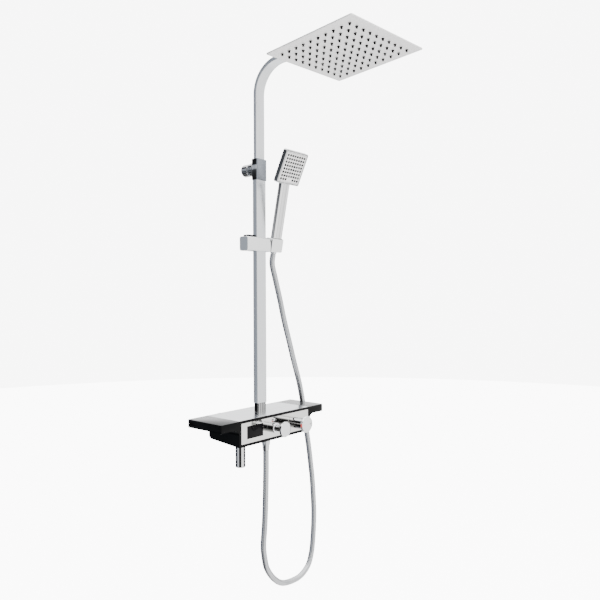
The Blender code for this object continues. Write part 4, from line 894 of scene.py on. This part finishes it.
def wall_bracket():
    sleeve = rounded_bar(SLEEVE_W, SLEEVE_D, SLEEVE_Z0, SLEEVE_Z1, 0.0045, 8)
    sleeve = bevel(sleeve, 0.0012, 4, 60)
    hole = rounded_bar(TUBE_W + 2 * GAP, TUBE_D + 2 * GAP, 0.55, 0.75, 0.0018, 6)
    show(cut(sleeve, hole), "bracket_sleeve", "chrome_sleeve_painted_dark")

    def screw_axis(start, end):
        return [(COL_X - post_r + x, -0.031, WALL_FIX_Z) for x in (start, end)]

    at = (COL_X, 0, WALL_FIX_Z)
    back, post_r = -(COL_Y + SLEEVE_D / 2), 0.0170
    core = [(0.0040, 0.0240), (0.0132, 0.0240), (0.0132, 0.0), (0.0032, 0.0),
            (0.0032, 0.0030), (0.0040, 0.0032), (0.0040, 0.0240)]
    show(lathe(core, at, OUT), "wall_core", "steel")
    flange = [(0.0135, 0.0186), (0.0148, 0.0186), (0.0155, 0.0178), (0.0155, 0.0004),
              (0.0152, 0.0), (0.0135, 0.0), (0.0135, 0.0186)]
    show(lathe(flange, at, OUT), "wall_flange", "chrome_post")
    body = [(0, back - GAP), (0.0162, back - GAP), (post_r, back - 0.0012), (post_r, 0.0255),
            (0.0160, 0.0245), (0.0, 0.0245)]
    hole = cylinder(0.0022, *screw_axis(-0.002, 0.0050))
    show(cut(lathe(body, at, OUT), hole), "standoff", "chrome_post")
    screw = cylinder(0.0019, *screw_axis(0.0008, 0.0046))
    socket = cylinder(0.0010, *screw_axis(-0.002, 0.0028), 6)
    show(cut(screw, socket), "bracket_screw", "steel")


# ---------------------------------------------------------------- overhead shower
def head_frame():
    """The square head's own frame: face centre, face looking down local -Z."""
    turn = (Matrix.Rotation(HEAD_YAW, 4, "Z") @ Matrix.Rotation(HEAD_ROLL, 4, "Y")
            @ Matrix.Rotation(HEAD_PITCH, 4, "X"))
    return Matrix.Translation(HEAD_CENTRE) @ turn


def nozzle_points(count, pitch, skip=()):
    middle = (count - 1) / 2
    return [((i - middle) * pitch, (j - middle) * pitch) for j in range(count)
            for i in range(count) if (i, j) not in skip]


def nozzle_set(points, radius, tip, low, high, cad, look, matrix):
    """Round rubber nozzles with a small rounded shoulder and an open bore, as one piece."""
    height = high - low
    profile = [(radius * 1.55, high), (radius * 1.12, high - 0.12 * height),
               (radius * 0.92, high - 0.40 * height), (tip, low + 0.18 * height),
               (tip * 0.86, low + 0.04 * height), (tip * 0.62, low), (tip * 0.42, low),
               (tip * 0.34, low + 0.4 * height), (0.0, low + 0.4 * height)]
    steps = 20
    verts, faces = [], []
    for u, v in points:
        start = len(verts)
        for r, d in profile[:-1]:
            verts += [(u + r * math.cos(math.tau * k / steps),
                       v + r * math.sin(math.tau * k / steps), d) for k in range(steps)]
        for row in range(len(profile) - 2):
            for k in range(steps):
                a, b = start + row * steps + k, start + row * steps + (k + 1) % steps
                faces.append((a, b, b + steps, a + steps))
        last = start + (len(profile) - 2) * steps
        verts.append((u, v, profile[-1][1]))
        faces += [(last + k, last + (k + 1) % steps, len(verts) - 1) for k in range(steps)]
    mesh = bpy.data.meshes.new("nozzles")
    mesh.from_pydata(verts, [], faces)
    obj = link(bpy.data.objects.new("nozzles", mesh), WORK)
    return show(place(obj, matrix), cad, look, edge=0, part="nozzles")


def plinth(low_half, high_half, radius, low, high):
    """A square with rounded corners that narrows from one level to the next."""
    rows = [round_rect(-h, h, -h, h, radius, 8) for h in (low_half, high_half)]
    count = len(rows[0])
    verts = [(u, v, z) for row, z in zip(rows, (low, high)) for u, v in row]
    faces = [(k, (k + 1) % count, count + (k + 1) % count, count + k) for k in range(count)]
    faces += [tuple(range(count))[::-1], tuple(range(count, 2 * count))]
    mesh = bpy.data.meshes.new("plinth")
    mesh.from_pydata(verts, [], faces)
    return link(bpy.data.objects.new("plinth", mesh), WORK)


def overhead_shower():
    frame = head_frame()
    half = HEAD_SIDE / 2
    centre = frame @ Vector((0, 0, HEAD_T + BALL_LIFT - 0.0040))
    shell = slab(half, half, HEAD_R, "XY", 0.0, HEAD_RIM, 8)
    shell = bevel(shell, 0.0006, 3, 60)
    crown = plinth(half - 0.0008, half - 0.016, HEAD_R, HEAD_RIM - 0.0004, HEAD_T)
    boss = lathe([(0, 0.0098), (0.0115, 0.0098), (0.0125, 0.0088), (0.0125, 0.0020),
                  (0, 0.0020)], (0, 0, HEAD_T - 0.003), UP)
    inner, chamber = half - 0.0025, half - 0.0085
    recess = slab(inner, inner, 0.002, "XY", -0.001, 0.0016, 4)
    tray = slab(chamber, chamber, 0.002, "XY", 0.001, 0.0042, 4)
    bore = cylinder(0.0045, (0, 0, 0.002), (0, 0, 0.03))
    seat = sphere(BALL_R + GAP, frame.inverted() @ centre, 48, 24)
    shell = cut(join(shell, crown, boss), recess, tray, bore, seat)
    show(place(shell, frame), "head_shell", "chrome_head")

    inner -= GAP
    face = slab(inner, inner, 0.0018, "XY", 0.0, 0.0014, 2)
    show(place(face, frame), "head_nozzles", "head_face")
    chamber -= GAP
    plate = slab(chamber, chamber, 0.0018, "XY", 0.0017, 0.0032, 4)
    slots = [box(x - 0.006, x + 0.006, -0.095, 0.095, 0.0, 0.006) for x in (-0.077, 0.0, 0.077)]
    show(place(cut(plate, *slots), frame), "head_plate", "grey_plastic")
    nozzle_set(nozzle_points(NOZZLE_GRID, NOZZLE_STEP), 0.0026, 0.0024, -0.0048, 0.0001,
               "head_nozzles", "nozzle_rubber", frame)
    ball_joint(frame, centre)


def sphere(radius, centre, around, along):
    bm = bmesh.new()
    bmesh.ops.create_uvsphere(bm, u_segments=around, v_segments=along, radius=radius,
                              matrix=Matrix.Translation(centre))
    return from_bmesh("sphere", bm)


def ball_joint(frame, centre):
    """Nipple in the arm, ball on its neck and nut on the head's boss."""
    turn = frame.to_3x3()
    nut = [(0.0062, 0.0066), (0.0074, 0.0066), (0.0128, 0.0040), (0.0140, 0.0030),
           (0.0140, -0.0062), (0.0132, -0.0070), (0.0128, -0.0070), (0.0128, -0.0039),
           (0.01035, -0.0039), (0.01035, 0.0), (0.0101, 0.0022), (0.0094, 0.0043),
           (0.0077, 0.0044), (0.0062, 0.0066)]
    show(lathe(nut, centre, turn @ Vector((0, 0, 1))), "ball_nut", "chrome")
    top, neck = ARM_BOTTOM - GAP, 0.0042
    stem = [(0, top), (0.0090, top), (0.0090, top - 0.0012), (neck, top - 0.0012),
            (neck, centre.z + 0.0030), (0, centre.z + 0.0030)]
    x, y = centre.x, centre.y
    stem = join(lathe(stem, (x, y, 0), UP), sphere(BALL_R, centre, 48, 24))
    water = cylinder(0.0025, (x, y, centre.z - 0.02), (x, y, top + 0.01))
    show(cut(stem, water), "arm_nipple", "chrome")


# ---------------------------------------------------------------- slider and cradle
def slider_block(inset, radius, start, end, steps):
    """The slider's side outline, set in from its edge, between two levels across."""
    return outline(round_rect(SLIDER_Y0 + inset, SLIDER_Y1 - inset, SLIDER_Z0 + inset,
                              SLIDER_Z1 - inset, radius, steps), "YZ", start, end)


def slider():
    body = bevel(slider_block(0.0, 0.0055, SLIDER_X0, SLIDER_X1, 4), 0.0010, 4, 60)
    hole = rounded_bar(TUBE_W + 2 * GAP, TUBE_D + 2 * GAP, 0.40, 0.50, 0.0018, 6)
    pocket = box(-0.0294 - GAP, -0.0010 + GAP, COL_Y - 0.0085 - GAP, COL_Y + 0.0085 + GAP,
                 0.4400, 0.47)
    seat = box(-0.0012, 0.0040, COL_Y - 0.0050, COL_Y + 0.0050, 0.4290, 0.4385)
    pin_hole = cylinder(0.0042, (0.0385, PIVOT_Y, PIVOT_Z), (0.0500, PIVOT_Y, PIVOT_Z))
    spring_hole = cylinder(0.0040, (-0.0160, COL_Y, 0.4320), (-0.0160, COL_Y, 0.4500))
    inset = slider_block(0.0024, 0.0040, SLIDER_X0 - 0.001, SLIDER_X0 + 0.0005, 8)
    body = cut(body, hole, pocket, pin_hole, spring_hole)
    body = cut(body, seat, inset)
    show(body, "slider_body", "chrome_painted_light")

    button = outline(round_rect(-0.0294, -0.0010, COL_Y - 0.0085, COL_Y + 0.0085, 0.002, 3),
                     "XY", 0.4520, 0.4680)
    show(bevel(button, 0.0012, 4, 60), "slider_button", "gloss_black")
    button_spring()


def button_spring():
    """A coil of round wire under the release button."""
    low, high, turns, steps, wire = 0.4323, 0.4515, 7, 24, 0.0005
    points = []
    for i in range(turns * steps + 1):
        angle = math.tau * i / steps
        rise = low + wire + (high - low - 2 * wire) * i / (turns * steps)
        points.append(Vector((-0.0160 + 0.0028 * math.cos(angle),
                              COL_Y + 0.0028 * math.sin(angle), rise)))
    data = bpy.data.curves.new("spring", "CURVE")
    data.dimensions = "3D"
    data.bevel_depth, data.bevel_resolution, data.use_fill_caps = wire, 2, True
    line = data.splines.new("POLY")
    line.points.add(len(points) - 1)
    for spot, point in zip(line.points, points):
        spot.co = (*point, 1.0)
    coil = to_mesh(link(bpy.data.objects.new("spring", data), WORK))
    coil = show(coil, "slider_spring", "steel", edge=0)
    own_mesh(coil)


def cradle_set():
    washer = ring(0.0043, 0.0100, (SLIDER_X1 + GAP, PIVOT_Y, PIVOT_Z), (1, 0, 0),
                  CRADLE_X0 - SLIDER_X1 - 2 * GAP, 20)
    show(washer, "pivot_washer", "black_rubber")

    frame = hand_frame()
    low, high = -0.0365, -0.0010
    body = outline(round_rect(-0.0085, 0.0160, low, high, 0.0040, 3), "YZ",
                   CRADLE_X0 - HAND_X, CRADLE_X1 - HAND_X)
    body = bevel(body, 0.0012, 4, 60)
    w, t = HANDLE_W / 2 + 0.0004, HANDLE_T / 2 + 0.0004
    socket = slab(w, t, 0.0016, "XY", -HANDLE_BELOW - 0.0008, 0.01, 2)
    tunnel = cylinder(NUT_R + 0.0005, (0, NUT_OFFSET, -0.05), (0, NUT_OFFSET, 0.015))
    body = place(cut(body, socket, tunnel), frame)
    liner = slab(w + 0.0010, t + 0.0010, 0.0022, "XY", -0.0030, -0.0004, 6)
    mouth = slab(w, t, 0.0016, "XY", -0.01, 0.01, 6)
    way = cylinder(NUT_R + 0.0007, (0, NUT_OFFSET, -0.05), (0, NUT_OFFSET, 0.015))
    show(place(cut(liner, mouth, way), frame), "cradle", "black_rubber", part="liner")
    pin_hole = cylinder(0.0043, (0.045, PIVOT_Y, PIVOT_Z), (0.0528, PIVOT_Y, PIVOT_Z))
    show(cut(body, pin_hole), "cradle", "chrome_painted_light")


# ---------------------------------------------------------------- hand shower
def hand_frame():
    """The handle's own frame: local Z runs up the handle, local -Y is its front."""
    return Matrix.Translation((HAND_X, HAND_Y, HAND_Z)) @ Matrix.Rotation(TILT, 4, "X")


def hand_face_frame():
    """The spray face's frame: centre of the face, local Z up the face, -Y outwards."""
    y, z = HAND_FACE_BOTTOM
    turn = Matrix.Rotation(FACE_LEAN, 4, "X")
    up = turn.to_3x3() @ Vector((0, 0, 1))
    centre = Vector((HAND_X, y, z)) + up * (HAND_HEAD_H / 2)
    return Matrix.Translation(centre) @ turn


def handset():
    grip = hand_frame()
    face = hand_face_frame()
    w, t = HANDLE_W / 2, HANDLE_T / 2
    length = 0.150
    stick = place(slab(w, t, 0.0015, "XY", -HANDLE_BELOW, length, 2), grip)
    hw, hh = HAND_HEAD_W / 2, HAND_HEAD_H / 2
    head = slab(hw, hh, 0.0050, "XZ", 0.0, HAND_HEAD_T, 4)
    head = place(bevel(head, 0.0010, 4, 60), face)
    body = join(stick, head)
    pocket = slab(hw - 0.0022, hh - 0.0022, 0.003, "XZ", -0.002, 0.0060)
    way = place(cylinder(0.0035, (0, 0, -0.03), (0, 0, length - 0.004)), grip)
    link_way = place(cylinder(0.0030, (0, -0.001, -hh + 0.012),
                              (0, HAND_HEAD_T - 0.002, -hh + 0.012)), face)
    body = cut(body, place(pocket, face), way)
    body = cut(body, link_way)
    show(body, "handset_body", "chrome_hand")

    frame_edge, window_edge = 0.0033, 0.0062
    frame = slab(hw - frame_edge, hh - frame_edge, 0.0028, "XZ", 0.0002, 0.0022)
    opening = slab(hw - window_edge, hh - window_edge, 0.002, "XZ", -0.003, 0.005, 2)
    show(place(cut(frame, opening), face), "handset_frame", "spray_frame")

    skip = {(HAND_GRID // 2 - 1, 0), (HAND_GRID // 2, 0)}
    points = nozzle_points(HAND_GRID, HAND_PITCH, skip)
    window_edge += GAP
    sheet = slab(hw - window_edge, hh - window_edge, 0.0018, "XY", -0.0022, -0.0004, 2)
    flip = face @ Matrix.Rotation(math.pi / 2, 4, "X")
    show(place(sheet, flip), "handset_nozzles", "spray_face")
    nozzle_set(points, 0.0032, 0.0031, 0.0004, -0.0008, "handset_nozzles", "nozzle_rubber",
               flip)

    nut = [(0, 0.0), (0.0074, 0.0), (NUT_R, -0.0010), (NUT_R, -0.0120), (0.0078, -0.0180),
           (0.0076, -0.0185), (0, -0.0185)]
    top = grip @ Vector((0, NUT_OFFSET, -HANDLE_BELOW - GAP))
    up = grip.to_3x3() @ Vector((0, 0, 1))
    show(lathe(nut, top, up), "hose_nut_handset", "chrome")


# ---------------------------------------------------------------- shower hose
def smooth_route(route, steps=12):
    """Points of a smooth curve through the route's own points."""
    knots = [Vector(p) for p in route]
    knots = [2 * knots[0] - knots[1]] + knots + [2 * knots[-1] - knots[-2]]
    fine = []
    for a, b, c, d in zip(knots, knots[1:], knots[2:], knots[3:]):
        for k in range(steps):
            t = k / steps
            fine.append(0.5 * (2 * b + (c - a) * t + (2 * a - 5 * b + 4 * c - d) * t * t
                               + (3 * b - a - 3 * c + d) * t ** 3))
    return fine + [knots[-2]]


def even_points(fine, step):
    """The same line with points at nearly even spacing."""
    spans = [(b - a).length for a, b in zip(fine, fine[1:])]
    count = max(2, round(sum(spans) / step))
    wanted = [sum(spans) * i / count for i in range(count + 1)]
    found, done = [], 0.0
    index = 0
    for target in wanted:
        while index < len(spans) - 1 and done + spans[index] < target:
            done += spans[index]
            index += 1
        share = min(1.0, max(0.0, (target - done) / spans[index]))
        found.append(fine[index].lerp(fine[index + 1], share))
    return found


HOSE_LENGTH, HOSE_PITCH, HOSE_GROOVE, HOSE_SIDES = 1.40, 0.0042, 0.00055, 28
HOSE_SHOWN_R = 0.0075
HOSE_UPPER, HOSE_END = 0.060, 0.028


def tube_along(points, radius, sides, phase):
    """A ribbed tube round the points; the rib runs round it as a shallow spiral."""
    spans = [0.0]
    for a, b in zip(points, points[1:]):
        spans.append(spans[-1] + (b - a).length)
    verts, faces = [], []
    heading = (points[1] - points[0]).normalized()
    side = heading.orthogonal().normalized()
    for i, point in enumerate(points):
        before, after = points[max(0, i - 1)], points[min(len(points) - 1, i + 1)]
        new = (after - before).normalized()
        side = heading.rotation_difference(new) @ side
        side = (side - new * side.dot(new)).normalized()
        heading = new
        other = heading.cross(side)
        for k in range(sides):
            angle = math.tau * k / sides
            turns = (spans[i] + phase) / HOSE_PITCH - k / sides
            dip = (turns % 1.0) - 0.5
            groove = HOSE_GROOVE * math.exp(-(dip / 0.17) ** 2)
            r = radius - groove
            verts.append(point + (side * math.cos(angle) + other * math.sin(angle)) * r)
    for i in range(len(points) - 1):
        for k in range(sides):
            a, b = i * sides + k, i * sides + (k + 1) % sides
            faces.append((a, b, b + sides, a + sides))
    faces.append(tuple(range(sides))[::-1])
    faces.append(tuple(range(len(verts) - sides, len(verts))))
    mesh = bpy.data.meshes.new("hose")
    mesh.from_pydata([tuple(v) for v in verts], [], faces)
    mesh.validate()
    bm = bmesh.new()
    bm.from_mesh(mesh)
    bmesh.ops.recalc_face_normals(bm, faces=bm.faces)
    bm.to_mesh(mesh)
    bm.free()
    return link(bpy.data.objects.new("hose", mesh), PIECES), spans


def shower_hose():
    """The hose as three lengths that meet end to end, so each can follow its own joint."""
    line = even_points(smooth_route(HOSE_ROUTE[::-1]), 0.0009)
    step = sum((b - a).length for a, b in zip(line, line[1:])) / (len(line) - 1)
    cuts = [0, len(line) - 1 - round(HOSE_UPPER / step), len(line) - 1 - round(HOSE_END / step),
            len(line) - 1]
    pairs = (("main", "column", "slider"), ("upper", "slider", "cradle"),
             ("end", "cradle", "handset"))
    made = []
    for (part, low, high), first, last in zip(pairs, cuts, cuts[1:]):
        points = line[first:last + 1]
        obj, spans = tube_along(points, HOSE_SHOWN_R, HOSE_SIDES, first * step)
        obj.name = obj.data.name = "v_shower_hose_" + part
        obj.data.materials.append(surface("hose"))
        obj.data.shade_smooth()
        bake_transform(obj, low, high, start=points[0], end=points[-1])
        weight = obj.data.attributes["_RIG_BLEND"]
        for i, span in enumerate(spans):
            share = span / spans[-1]
            for k in range(HOSE_SIDES):
                weight.data[i * HOSE_SIDES + k].value = share
        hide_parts("shower_hose")
        made.append((obj, points))
    return made, line


def dress_cad():
    """Materials for the inner nodes that are shown as the frame has them."""
    for look, names in CAD_LOOKS.items():
        for name in names:
            mesh = frame["nodes"][name].data
            mesh.materials.clear()
            mesh.materials.append(surface(look))


make_camera()
make_world()
make_stage()
HOSE, HOSE_LINE = shower_hose()
dress_cad()
mixer_housing()
shelf_top_plate()
faceplate()
display()
inlets()
index_stud()
knobs()
spout()
hose_outlet()
column_foot()
lower_tube()
riser_arm()
wall_bracket()
overhead_shower()
slider()
cradle_set()
handset()

for item in list(WORK.objects):
    bpy.data.objects.remove(item, do_unlink=True)
